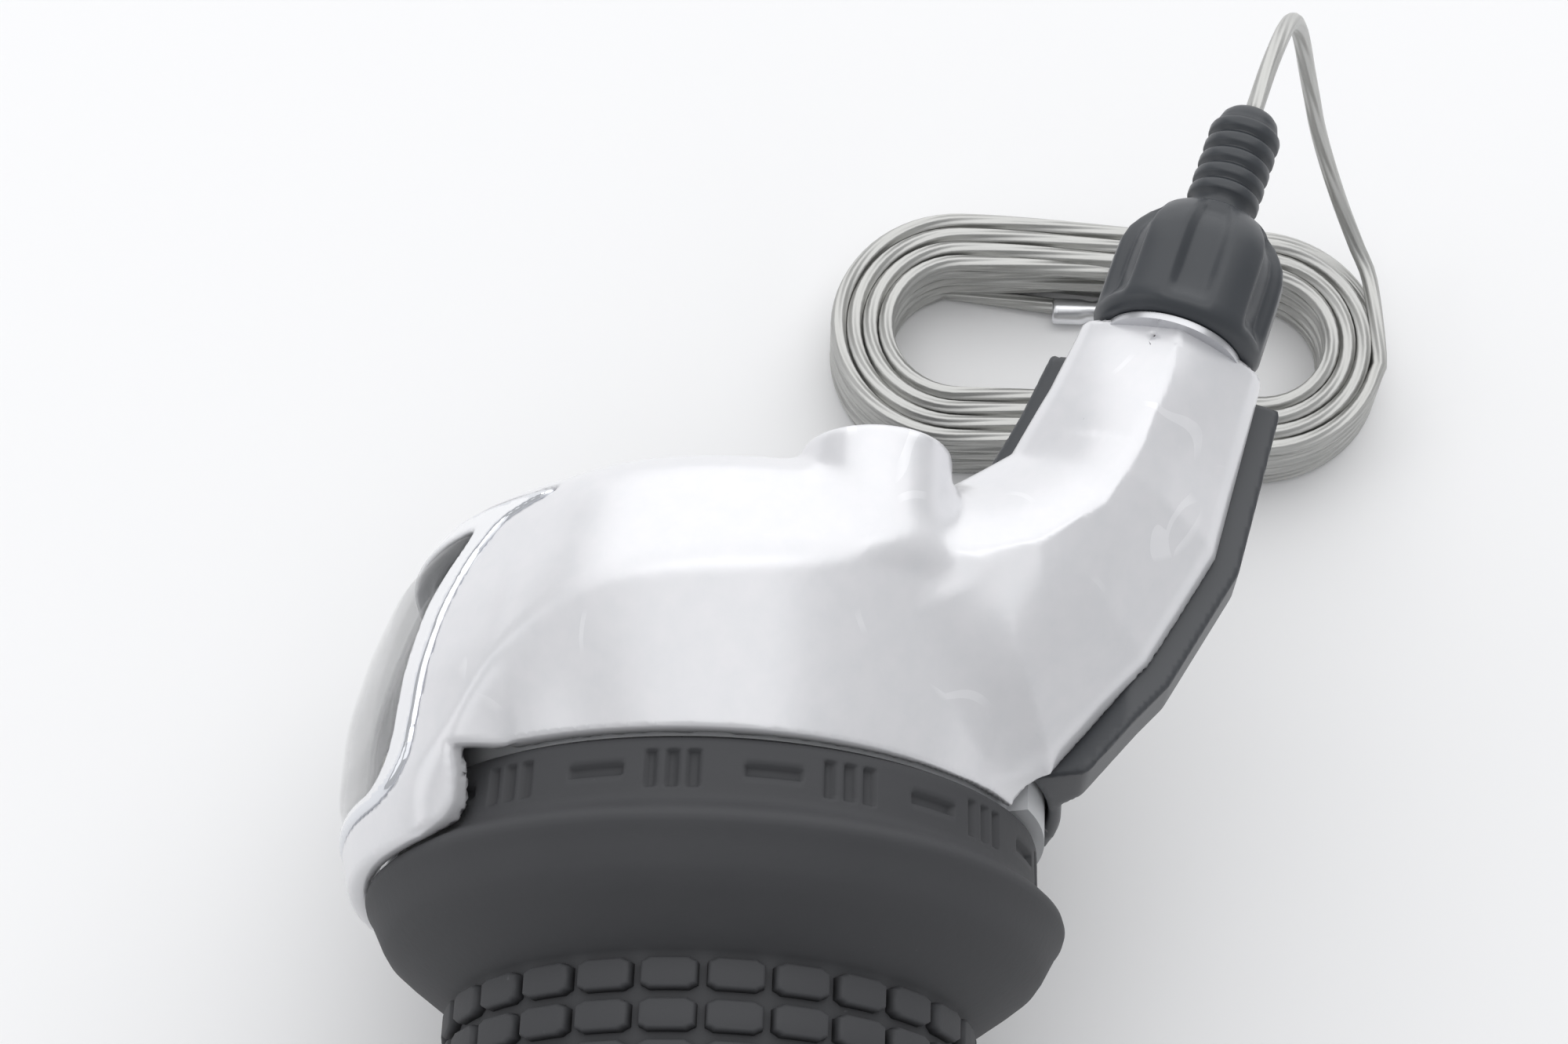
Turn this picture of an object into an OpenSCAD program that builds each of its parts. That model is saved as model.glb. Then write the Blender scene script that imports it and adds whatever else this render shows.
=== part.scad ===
// Right-hand twist-grip gear shifter for a 22.2 mm handlebar, with its inner cable.
// +X points outboard along the handlebar, +Y forward, +Z up. The origin is on the
// handlebar's axis, in the plane of the rubber flange's rim.

/* [Handlebar] */
// Diameter of the handlebar that the shifter clamps
bar_d = 22.2; // [20:0.1:27]
// Clearance between the handlebar and the clamp bore, on the radius
clamp_gap = 0.05; // [0.02:0.01:0.1]

/* [Grip] */
// Length of the rubber from the flange's rim to its outboard end
grip_len = 58; // [40:1:90]
// Thickness of the rubber under the tiles
rubber_t = 3.0; // [2:0.1:5]
// Height of the rubber tiles
tile_h = 0.75; // [0.3:0.05:1.2]
// Rows of tiles along the grip
tile_rows = 20; // [8:1:30]
// Width of the groove between two rows of tiles
tile_gap = 0.7; // [0.4:0.05:1.2]
// How far the flange's rim stands above the tiles' floor
rim_h = 6.3; // [3:0.1:9]
// Length of the flare from the rim to the first tiles
flare_len = 6.2; // [4:0.1:10]
// Length of the smooth collar inboard of the rim
collar_len = 5.6; // [4:0.1:8]
// How far the collar stands above the tiles' floor
collar_h = 4.5; // [3:0.1:6]
// Wall of the twist tube under the rubber
sleeve_wall = 1.9; // [1.4:0.1:3]

/* [Housing] */
// Outer radius of the housing at the indicator window
housing_r = 24.4; // [22.5:0.1:28]
// Length of the housing along the handlebar
housing_len = 20.4; // [19.6:0.1:26]
// Wall of the cover and the lower housing
wall = 1.5; // [1.2:0.1:2]
// Radius of the cover's front edge, above the collar
front_r = 21.6; // [21.3:0.1:23]
// Height of the crest above the cover's front edge
crest_h = 3.0; // [1:0.1:4]
// Tilt of the joint between cover and lower housing
part_tilt = 22.8; // [20:0.2:25]
// Height of that joint above the handlebar's axis, at the axis
part_z = 0.7; // [0:0.1:2]

/* [Cable] */
// Diameter of the inner cable
cable_d = 1.2; // [1.1:0.05:1.6]
// Radius of the drum at the cable's centre line
pull_r = 15; // [14.6:0.1:17]
// Cable pulled by one click
click_pull = 2.93; // [2.5:0.01:3.5]
// Number of gears
gears = 7; // [6:1:9]
// Angle of the cable's exit, forward from the handlebar's direction
exit_angle = 17.15; // [10:0.5:30]
// Distance of the adjuster's foot inboard of the rim
foot_x = 35.4; // [34:0.1:40]
// Distance of the adjuster's foot forward of the handlebar's axis
foot_y = 28.3; // [27:0.1:32]
// Bend radius of the cable over its guide post
guide_bend_r = 5.2; // [4.8:0.1:6]

/* [Barrel adjuster] */
// Radius of the adjuster's knob
knob_r = 5.6; // [5:0.1:7]
// Length of the knob
knob_len = 9.7; // [7:0.1:12]
// Number of flutes in the knob
knob_flutes = 6; // [5:1:10]
// Thread radius of the adjuster's barrel
thread_r = 2.5; // [2.3:0.1:3]
// Length of the ribbed plug beyond the knob
plug_len = 8.6; // [6:0.1:12]
// Radius of the ribbed plug
plug_r = 2.4; // [2.2:0.1:3]
// Rings on the plug
plug_rings = 5; // [3:1:6]

/* [Cable coil] */
// Half length of the oval coil, outside
coil_a = 21.1; // [18:0.1:26]
// Half width of the oval coil, outside
coil_b = 9.8; // [9:0.1:14]
// Turns side by side in the coil
coil_columns = 4; // [3:1:5]
// Turns on top of each other in the coil
coil_rows = 5; // [4:1:7]

/* [Hidden] */
$fn = 64;
run_gap = 0.05;

// Radii from the handlebar outwards
bar_r = bar_d / 2;
clamp_r = bar_r + clamp_gap;
cable_r = cable_d / 2;
drum_floor_r = pull_r - cable_r;
head_r = 2.1;
head_angle = 189.5;
head_len = 4.4;
drum_r = pull_r + head_r + 0.2;
drum_bore_r = pull_r - head_r - 0.2;
hub_r = drum_bore_r - run_gap;
ring_r = 16.9;
sleeve_bore_r = bar_r + 0.2;
sleeve_r = sleeve_bore_r + sleeve_wall;
tile_floor_r = sleeve_r + rubber_t;
tile_r = tile_floor_r + tile_h;
rim_r = tile_floor_r + rim_h;
collar_r = tile_floor_r + collar_h;
crest_r = front_r + crest_h;

// Stations along the handlebar, from the rim inboard
x_collar = -collar_len;
x_front = x_collar - 0.3;
x_back = x_collar - housing_len;
lobe_x = -0.8;
clamp_len = 5.1;
x_clamp = x_back + clamp_len;
x_ring = x_clamp + 0.1;
ring_len = 1.7;
x_drum = x_ring + ring_len + 0.1;
x_drum_end = x_front - 0.5;
x_cable = x_drum + 2.5;
ring_mouth_x = x_front - 3.7;
crest_x = x_back + 10.5;

// Cable exit and barrel adjuster
exit_dir = [-cos(exit_angle), sin(exit_angle), 0];
foot = [-foot_x, foot_y, pull_r];
turn_angle = 90 - exit_angle;
corner_y = foot_y - (foot_x + x_cable) * tan(exit_angle);
bend_start_y = corner_y - guide_bend_r * tan(turn_angle / 2);
bend_centre = [x_cable - guide_bend_r, bend_start_y, pull_r];
guide_post_r = 1.7;
guide_post_z = 8.2;
neck_gap = 0.6;
insert_r = thread_r + 0.6;
insert_len = 5;
barrel_in = insert_len + 1;
cable_bore_r = cable_r + 0.25;

// Joint between the cover and the lower housing
neck_part_z = pull_r - 3.5;
base_lip = 1.6;
// Half width of the neck's end, and its ridge's and corners' heights over the exit's axis
neck_half = knob_r + 0.3;
neck_ridge = insert_r + 1.6;
neck_corner = 0.8;

// Indicator: angles round the bar run from below (0) through forward (90) to the top (180)
lens_from = 234.5;
lens_to = 284;
bezel_from = 229;
bezel_to = 290;
lobe_from = 223;
lobe_to = 310;
lens_x = [-20.6, -4.9];
bezel_x = [-22.5, -3.6];
lobe_side = 4.3;
lens_t = 1.2;
flag_len = 3.2;
flag_x = -7.2;
pin_x = -8;
gear_pitch = 1.6;
flag_travel = gear_pitch * (gears - 1);
flag_drop = 1.9;
pin_r = 0.7;
twist = (gears - 1) * click_pull / pull_r * 180 / PI;

// Floor that the coil lies on, and the coil
floor_z = -rim_r;
coil_centre = [-53, 27];
coil_w = coil_columns * cable_d;
coil_h = coil_rows * cable_d;

// Route of the free cable from the plug's tip to the coil
tip = foot + (knob_len + plug_len) * exit_dir;
coil_top = floor_z + coil_h - cable_r;
route = [tip, tip + 2 * exit_dir, tip + 4 * exit_dir, [-58.8, 35.6, 14.7], [-61, 36.4, 13.6],
         [-62.8, 37.2, 11.6], [-64, 38, 8.8], [-64.7, 38.8, 5.4], [-65, 39.6, 1.8],
         [-65.1, 40.5, -2], [-64.9, 41.5, -6], [-64.2, 42.8, -10], [-62.8, 44.3, -13.6],
         [-60.6, 45.8, -16], [-58, 46.9, coil_top + 0.2], [-55, 47.4, coil_top]];

// Profiles [radius, x] of the housing, from the front edge inboard
function top_profile(t) =
    [[front_r - t, x_front], [front_r + 1.4 - t, crest_x + 5.5],
     [crest_r - t, crest_x], [crest_r - 1.5 - t, crest_x - 4.5], [crest_r - 4 - t, crest_x - 7.5],
     [crest_r - 7.6 - t, x_back + 0.6 + t], [crest_r - 9.1 - t, x_back + t]];
function rider_profile(t) =
    [[housing_r - 0.9 - t * 0.5, lobe_x], [housing_r - 0.3 - t * 0.75, lobe_x - 0.6],
     [housing_r - t, -3], [housing_r - t, -10], [housing_r - 0.8 - t, -14.2],
     [housing_r - 2.5 - t, -19.3], [housing_r - 4.3 - t, crest_x - 7.4],
     [housing_r - 7.9 - t, x_back + 0.9 + t], [housing_r - 9.3 - t, x_back + 0.4 + t]];
function base_profile(t) =
    [[rim_r - 0.3 - t, ring_mouth_x], [rim_r - 0.1 - t, ring_mouth_x - 3],
     [rim_r - 0.1 - t, x_back + 5], [rim_r - 2.6 - t, x_back + 1.6 + t * 0.4],
     [rim_r - 6 - t, x_back + t]];
// A profile closed along the axis, with its front end carried on to x0
function closed(outline, x0) =
    concat([[0, x0], [outline[0][0], x0]], outline, [[0, outline[len(outline) - 1][1]]]);

// Turns a [radius, x] profile round the handlebar
module round_bar(from = 0, sweep = 360)
    rotate([0, 90, 0]) rotate([0, 0, from]) rotate_extrude(angle = sweep, $fn = 96) children();

module tube_x(r_out, r_in, x0, x1)
    round_bar() translate([r_in, x0]) square([r_out - r_in, x1 - x0]);

module along_exit(u = 0)
    translate(foot + u * exit_dir) rotate([0, -90, -exit_angle]) children();

// A straight round bar along the exit's axis, between two distances from the adjuster's foot
module exit_rod(r, u0, u1)
    along_exit(u0) cylinder(r = r, h = u1 - u0);

// Everything above the joint between cover and lower housing
module above_joint(gap = 0) {
    translate([-100, -100, neck_part_z + gap]) cube([200, 200, 60]);
    translate([0, 0, part_z]) rotate([part_tilt, 0, 0])
        translate([-100, -100, gap]) cube([200, 200, 90]);
}

// Solid of the neck, grown by d, from z0 up; end_t is kept free at its end
module neck(d, z0, end_t = 0) {
    elbow = [-20.5, 22.2];
    z1 = pull_r + neck_ridge + 0.4 + min(d, 0);
    w = neck_half + d;
    hull() {
        translate([-15.5, 12, z0]) cylinder(r = 7 + d, h = z1 - 2.5 - z0, $fn = 32);
        translate([elbow[0], elbow[1], z0]) cylinder(r = 8 + d, h = z1 - 4.5 - z0, $fn = 32);
        translate([elbow[0], elbow[1], z0]) cylinder(r = 4 + d, h = z1 - z0, $fn = 32);
    }
    hull() {
        translate([elbow[0], elbow[1], z0]) cylinder(r = 8 + d, h = z1 - 4.5 - z0, $fn = 32);
        translate([elbow[0], elbow[1], z0]) cylinder(r = 4 + d, h = z1 - z0, $fn = 32);
        along_exit(-3) linear_extrude(3 - neck_gap - end_t) polygon([
            [z0 - pull_r, -w], [neck_corner + min(d, 0), -w], [neck_ridge - 1.3 + min(d, 0), -w / 2],
            [neck_ridge + min(d, 0), 0], [neck_ridge - 1.3 + min(d, 0), w / 2],
            [neck_corner + min(d, 0), w], [z0 - pull_r, w]]);
    }
}

module boss(t) {
    translate([x_back - 0.2 + t, 9.3, 17.3]) rotate([0, 90, 0]) cylinder(r = 4.8 - t, h = 9);
}

module cover_outer() {
    round_bar() polygon(concat([[0, x_front]], top_profile(0), [[0, x_back]]));
    round_bar(lobe_from, lobe_to - lobe_from)
        polygon(concat([[1, x_front - 0.4], [rim_r + 0.4, x_front - 0.4], [rim_r + 0.4, lobe_x]],
                       rider_profile(0), [[1, x_back + 0.4]]));
    neck(0, 0);
    boss(0);
}

module cover_inner() {
    round_bar() polygon(closed(top_profile(wall), 1));
    round_bar(lobe_from + lobe_side, lobe_to - lobe_from - 2 * lobe_side)
        polygon(closed(rider_profile(wall), 2));
    neck(-wall, -1, wall);
    boss(wall);
}

module window(from, to, xs, grow = 0)
    round_bar(from - grow * 2, to - from + grow * 4)
        translate([housing_r - 9, xs[0] - grow]) square([20, xs[1] - xs[0] + 2 * grow]);

screw_spots = [[-13, 21.4], [-27, 30.6]];
screw_r = 1.1;
post_r = 2.2;
post_top_z = pull_r - 0.2;
screw_top_z = pull_r - 1;
screw_seat_z = 3.4;

// Silver upper cover with its neck, boss and window
module top_cover() {
    color([0.86, 0.87, 0.89]) intersection() {
        difference() {
            union() {
                difference() {
                    cover_outer();
                    cover_inner();
                }
                for (s = screw_spots) translate([s[0], s[1], 0]) cylinder(r = post_r, h = post_top_z);
            }
            window(bezel_from, bezel_to, bezel_x, run_gap);
            for (s = screw_spots) translate([s[0], s[1], -1])
                cylinder(r = screw_r + run_gap, h = screw_top_z + 1);
            exit_rod(insert_r, -insert_len - neck_gap, 0);
            round_bar() translate([0, x_back - 1]) square([hub_r + 0.15, 3]);
        }
        above_joint();
    }
}

// Frame round the indicator window
module indicator_bezel() {
    color([0.80, 0.81, 0.83]) difference() {
        intersection() {
            round_bar(lobe_from, lobe_to - lobe_from) difference() {
                polygon(closed(rider_profile(0), lobe_x));
                polygon(closed(rider_profile(wall), lobe_x + 1));
            }
            window(bezel_from, bezel_to, bezel_x);
        }
        window(lens_from, lens_to, lens_x, run_gap);
    }
}

// Smoked lens of the window
module indicator_lens() {
    color([0.25, 0.27, 0.3]) intersection() {
        round_bar(lobe_from, lobe_to - lobe_from) difference() {
            polygon(closed(rider_profile(0), lobe_x));
            polygon(closed(rider_profile(lens_t), lobe_x + 1));
        }
        window(lens_from, lens_to, lens_x);
    }
}

// Printed dial behind the lens, with a slot for the pointer
module dial_plate() {
    slope = flag_drop / flag_travel;
    r0 = housing_r - 3.2;
    x0 = lens_x[1] - 0.4;
    run = 14.6;
    color([0.15, 0.16, 0.18]) difference() {
        round_bar(lens_from - 4, lens_to - lens_from + 8)
            polygon([[r0, x0], [r0 - slope * run, x0 - run],
                     [r0 - slope * run - 0.5, x0 - run], [r0 - 0.5, x0]]);
        translate([pin_x - flag_travel - 1.2, -housing_r, -1.1]) cube([flag_travel + 2.4, housing_r, 2.2]);
    }
}

// Cream pointer flag on its slider
module indicator_pointer() {
    r = housing_r - 2.1;
    color([0.93, 0.9, 0.8]) {
        round_bar(243, 29) translate([r - 0.45, flag_x - flag_len / 2]) square([0.45, flag_len]);
        difference() {
            translate([pin_x - 0.9, -r + 0.3, -0.9]) cube([1.8, 2.85, 1.8]);
            translate([pin_x, 0, 0]) rotate([90, 0, 0]) cylinder(r = pin_r, h = r - 1.5);
        }
    }
}

// Steel pin that the drum's slanted track drives
module pointer_pin() {
    color([0.7, 0.7, 0.72]) translate([pin_x, -drum_r + 1.4, 0]) rotate([90, 0, 0])
        cylinder(r = pin_r, h = housing_r - 3.6 - drum_r + 1.4);
}

bolt_r = 2;
bolt_x = x_back + clamp_len / 2;
bolt_z = -clamp_r - bolt_r - 3.6;
block_half = 8.5;
head_h = 4;
nut_h = 3.2;
ring_notch_r = 1.3;
click_angle = twist / (gears - 1);
leaf_z = -ring_r - 1.6;
leaf_end_y = 6;
leaf_screw_r = 0.55;

// Points local +Z outwards from the bar at angle a round it
module spoke(a) rotate([a + 180, 0, 0]) children();

// Black lower housing with the handlebar clamp
module bracket_body() {
    color([0.2, 0.21, 0.23]) difference() {
        union() {
            difference() {
                intersection() {
                    union() {
                        round_bar() polygon(closed(base_profile(0), ring_mouth_x));
                        neck(base_lip, 1);
                    }
                    translate([-100, -100, -100]) cube([100 + ring_mouth_x, 200, 200]);
                }
                round_bar() polygon(closed(base_profile(wall), 1));
                neck(base_lip - wall, 1 + wall, wall);
            }
            for (s = screw_spots) translate([s[0], s[1], 1.2]) cylinder(r = 2.9, h = neck_part_z - 1.2);
            translate([x_back, -block_half, 1.2 - rim_r]) cube([clamp_len, 2 * block_half, rim_r - 9]);
            translate([x_ring, leaf_end_y - 1.5, 1.2 - rim_r])
                cube([ring_len, 3, rim_r - 1.2 + leaf_z]);
            translate([x_back, -hub_r, -hub_r]) cube([wall, 2 * hub_r, hub_r]);
            translate([bend_centre[0], bend_centre[1], 1.2])
                cylinder(r = guide_post_r, h = guide_post_z - 1.2);
            tube_x(hub_r, clamp_r - 1, x_back, x_drum_end);
        }
        difference() {
            above_joint();
            round_bar() translate([0, x_back - 1]) square([hub_r, x_drum_end - x_back + 2]);
        }
        round_bar() translate([0, x_back - 1]) square([clamp_r, housing_len + 20]);
        translate([x_back - 1, -0.6, -rim_r - 1]) cube([x_drum_end - x_back + 2, 1.2, rim_r]);
        translate([bolt_x, -20, bolt_z]) rotate([-90, 0, 0]) cylinder(r = bolt_r + 0.15, h = 40);
        translate([bolt_x, -block_half - 20, bolt_z]) rotate([-90, 0, 0]) cylinder(r = 3.8, h = 20);
        translate([bolt_x, block_half, bolt_z]) rotate([-90, 0, 0]) cylinder(r = 4.6, h = 20);
        for (s = screw_spots) translate([s[0], s[1], 0]) {
            cylinder(r = screw_r + 0.1, h = 12);
            cylinder(r = 2.3, h = screw_seat_z);
        }
        translate([x_ring + ring_len / 2, leaf_end_y, leaf_z - 1.6])
            cylinder(r = leaf_screw_r + 0.03, h = 3);
    }
}

// Light grey ring that keeps the drum in the housing
module retainer_ring() {
    color([0.78, 0.79, 0.8]) {
        difference() {
            tube_x(front_r - wall - 0.3, drum_r + 0.5, ring_mouth_x, x_front);
            translate([ring_mouth_x - 1, -housing_r, -pin_r - 0.6])
                cube([pin_x + 2.2 - ring_mouth_x, housing_r - ring_r, 2 * pin_r + 1.2]);
        }
        round_bar(-46, 158) translate([front_r - wall - 0.8, ring_mouth_x + 0.2])
            square([collar_r + 0.5 - front_r + wall + 0.8, x_front - ring_mouth_x - 0.4]);
    }
}

// Two screws that hold the cover down, from below
module cover_screws() {
    color([0.6, 0.6, 0.62]) for (s = screw_spots) translate([s[0], s[1], screw_seat_z]) difference() {
        union() {
            cylinder(r = screw_r, h = screw_top_z - screw_seat_z - 0.3);
            translate([0, 0, -1.4]) cylinder(r = 2.2, h = 1.4);
        }
        translate([-1.4, -0.25, -1.5]) cube([2.8, 0.5, 0.8]);
        translate([-0.25, -1.4, -1.5]) cube([0.5, 2.8, 0.8]);
    }
}

// Cap screw across the clamp
module clamp_bolt() {
    color([0.45, 0.45, 0.47]) translate([bolt_x, -block_half - head_h, bolt_z])
        rotate([-90, 0, 0]) difference() {
        union() {
            cylinder(r = 3.5, h = head_h);
            cylinder(r = bolt_r, h = head_h + 2 * block_half + nut_h + 0.8);
        }
        translate([0, 0, -1]) cylinder(r = 1.75, h = 3.4, $fn = 6);
    }
}

// Nut of the clamp bolt
module clamp_nut() {
    color([0.6, 0.6, 0.62]) translate([bolt_x, block_half, bolt_z]) rotate([-90, 0, 0]) difference() {
        cylinder(r = 4.04, h = nut_h, $fn = 6);
        translate([0, 0, -1]) cylinder(r = bolt_r, h = nut_h + 2);
    }
}

// Grooved post that turns the cable from the drum towards the adjuster
module cable_guide() {
    r = guide_bend_r - cable_r - 0.03;
    side = -1.5;
    color([0.9, 0.9, 0.86]) translate(bend_centre) difference() {
        rotate_extrude() polygon([[0, guide_post_z - pull_r], [guide_post_r, guide_post_z - pull_r],
            [guide_post_r, -1.9], [r + 0.7, -1.9], [r + 0.7, -1.3], [r, -0.6], [r, 0.6], [0, 0.6]]);
        translate([side - 10, -10, -20]) cube([10, 20, 40]);
        translate([-10, side - 10, -20]) cube([20, 10, 40]);
    }
}

// Leaf spring whose bump drops into the ring's notches
module detent_spring() {
    color([0.7, 0.71, 0.73]) difference() {
        union() {
            translate([x_ring, -4, leaf_z]) cube([ring_len, leaf_end_y + 5.5, 0.4]);
            translate([x_ring, 0, -ring_r - 0.4]) rotate([0, 90, 0]) cylinder(r = 1, h = ring_len);
        }
        translate([x_ring + ring_len / 2, leaf_end_y, leaf_z - 1]) cylinder(r = leaf_screw_r, h = 3);
    }
}

// Screw that holds the leaf spring
module detent_spring_screw() {
    color([0.6, 0.6, 0.62]) translate([x_ring + ring_len / 2, leaf_end_y, leaf_z - 1.4]) {
        cylinder(r = leaf_screw_r, h = 1.9);
        translate([0, 0, 1.8]) cylinder(r = ring_len / 2, h = 0.6);
    }
}

// Threaded metal insert in the neck
module adjuster_insert() {
    color([0.72, 0.6, 0.35]) difference() {
        exit_rod(insert_r, -insert_len - neck_gap, -neck_gap);
        exit_rod(thread_r + run_gap, -insert_len - neck_gap - 1, 1);
    }
}

// Thin washer under the knob
module adjuster_click_washer() {
    color([0.65, 0.65, 0.67]) difference() {
        exit_rod(knob_r - 1, -neck_gap + 0.05, -0.1);
        exit_rod(thread_r + 0.3, -1, 1);
    }
}

// Inner cable inside the housing: round the drum, over the guide, out through the plug
module inner_cable_run() {
    head_half = asin(head_len / 2 / drum_floor_r) + 0.2;
    color([0.7, 0.71, 0.72]) {
        round_bar(180, head_angle - 180 - head_half) translate([pull_r, x_cable]) circle(r = cable_r);
        translate([x_cable, 0, pull_r]) rotate([-90, 0, 0]) cylinder(r = cable_r, h = bend_start_y);
        translate(bend_centre) rotate_extrude(angle = turn_angle)
            translate([guide_bend_r, 0]) circle(r = cable_r);
        bend_end = norm([foot_x + bend_centre[0] + guide_bend_r * cos(turn_angle),
                         foot_y - bend_centre[1] - guide_bend_r * sin(turn_angle)]);
        exit_rod(cable_r, -bend_end, knob_len + plug_len);
    }
}

// Unit direction from point a to point b
function towards(a, b) = (b - a) / norm(b - a);
// Direction of the route at point i
function route_dir(i) =
    i == 0 ? exit_dir : towards(route[max(i - 1, 0)], route[min(i + 1, len(route) - 1)]);
// One ring of n points round point p, across direction d
function ring_at(p, d, r, n) =
    let (side = cross(d, [0, 1, 0.2]) / norm(cross(d, [0, 1, 0.2])), up = cross(d, side))
    [for (k = [0:n - 1]) p + r * (cos(360 * k / n) * side + sin(360 * k / n) * up)];

// Free stretch of inner cable, from the plug to the coil
module inner_cable_free() {
    n = 8;
    m = len(route);
    points = [for (i = [0:m - 1]) each ring_at(route[i], route_dir(i), cable_r, n)];
    faces = concat([[for (k = [0:n - 1]) k]],
                   [for (i = [0:m - 2]) for (k = [0:n - 1])
                       [i * n + k, (i + 1) * n + k, (i + 1) * n + (k + 1) % n, i * n + (k + 1) % n]],
                   [[for (k = [n - 1:-1:0]) (m - 1) * n + k]]);
    color([0.7, 0.71, 0.72]) polyhedron(points, faces);
}

// Oval with straight sides and round ends, with half length a and half width b
module oval(a, b) {
    square([2 * b, 2 * (a - b)], center = true);
    for (side = [-1, 1]) translate([0, side * (a - b)]) circle(r = b);
}

// Outer shape of the coiled cable
module inner_cable_coil() {
    color([0.7, 0.71, 0.72]) translate([coil_centre[0], coil_centre[1], floor_z])
        linear_extrude(coil_h) difference() {
            oval(coil_a, coil_b);
            oval(coil_a - coil_w, coil_b - coil_w);
        }
}

// Crimped cap on the cable's far end, lying inside the coil
module cable_end_cap() {
    r = 1;
    color([0.75, 0.76, 0.78])
        translate([coil_centre[0] - coil_b + coil_w + r, coil_centre[1] - 4, floor_z + r])
            rotate([-90, 0, 0]) cylinder(r = r, h = 8);
}

flange_r = collar_r - 1.5;
flange_end_x = x_collar + 2.3;
dog_r = [sleeve_r, drum_r - 0.8];
dog_len = 1.8;

// Twist tube with its flange and the dogs that turn the drum
module grip_sleeve() {
    color([0.85, 0.85, 0.85]) {
        tube_x(sleeve_r, sleeve_bore_r, x_collar + 0.1, grip_len - 1);
        tube_x(flange_r, sleeve_r - 0.5, x_collar + 0.1, flange_end_x);
        for (a = [0:120:240]) round_bar(a - 12, 24)
            translate([dog_r[0], x_drum_end - dog_len])
                square([dog_r[1] - dog_r[0], x_collar + 0.3 - x_drum_end + dog_len]);
    }
}

// Rubber sleeve: collar, flared rim and the tiled grip
module grip_rubber() {
    row = (grip_len - flare_len - 1.5) / tile_rows;
    rows = [for (i = [0:tile_rows - 1]) let (x = flare_len + tile_gap + i * row)
        each [[tile_floor_r, x], [tile_r, x],
              [tile_r, x + row - tile_gap], [tile_floor_r, x + row - tile_gap]]];
    color([0.2, 0.2, 0.21]) round_bar() polygon(concat(
        [[flange_r, x_collar], [collar_r - 0.3, x_collar], [collar_r, x_collar + 0.3], [collar_r, -1.7],
         [(collar_r + rim_r) / 2, -0.9], [rim_r - 0.2, -0.3], [rim_r, 0.1], [rim_r, 0.6],
         [tile_floor_r + rim_h * 0.93, flare_len * 0.26], [tile_floor_r + rim_h * 0.76, flare_len * 0.48],
         [tile_floor_r + rim_h * 0.43, flare_len * 0.74], [tile_floor_r + rim_h * 0.18, flare_len * 0.92]],
        rows,
        [[tile_floor_r, grip_len], [sleeve_r, grip_len],
         [sleeve_r, flange_end_x], [flange_r, flange_end_x]]));
}

// Drum that winds the cable and drives the pointer through a slanted track
module cable_drum() {
    steps = 28;
    color([0.9, 0.9, 0.88]) difference() {
        tube_x(drum_r, drum_bore_r, x_drum, x_drum_end);
        tube_x(drum_r + 1, drum_floor_r, x_cable - 0.8, x_cable + 0.8);
        for (k = [0:steps]) spoke(270 - twist * k / steps)
            translate([pin_x - flag_travel * k / steps, 0, drum_bore_r + 1.2]) cylinder(r = 1, h = drum_r);
        for (a = [0:120:240]) round_bar(a - 12.3, 24.6)
            translate([dog_r[0] - 0.1, x_drum_end - dog_len - 0.1]) square([dog_r[1] - dog_r[0] + 0.2, 5]);
        for (a = [20:120:260]) spoke(a) translate([x_drum - 1, 0, pull_r])
            rotate([0, 90, 0]) cylinder(r = 0.85, h = 2.3);
        spoke(head_angle) translate([x_cable, 0, pull_r]) {
            rotate([90, 0, 0]) cylinder(r = head_r + 0.05, h = head_len + 0.1, center = true);
            translate([-head_r - 0.05, -head_len / 2 - 0.05, 0]) cube([2 * head_r + 0.1, head_len + 0.1, 5]);
        }
    }
}

// Notched ring that gives the gears their clicks
module detent_ring() {
    color([0.62, 0.63, 0.65]) difference() {
        union() {
            tube_x(ring_r, drum_bore_r, x_ring, x_ring + ring_len);
            for (a = [20:120:260]) spoke(a) translate([x_ring + ring_len - 0.5, 0, pull_r])
                rotate([0, 90, 0]) cylinder(r = 0.8, h = 1.7);
        }
        for (k = [0:gears - 1]) spoke(-k * click_angle) translate([x_ring - 1, 0, ring_r + 0.4])
            rotate([0, 90, 0]) cylinder(r = ring_notch_r, h = ring_len + 2);
    }
}

// Barrel nipple on the cable, seated in the drum
module cable_head() {
    color([0.7, 0.71, 0.72]) spoke(head_angle) translate([x_cable, 0, pull_r]) rotate([90, 0, 0])
        cylinder(r = head_r, h = head_len, center = true);
}

// Washer between the clamp's tube and the twist tube
module thrust_washer() {
    color([0.85, 0.85, 0.82]) tube_x(hub_r, bar_r + 0.3, x_drum_end + 0.1, x_collar + 0.05);
}

// Washer that closes the grip's outboard end
module grip_end_washer() {
    color([0.3, 0.3, 0.31]) tube_x(sleeve_r, sleeve_bore_r, grip_len - 0.9, grip_len + 0.2);
}

socket_r = 1.95;
socket_len = 2.3;

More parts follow.
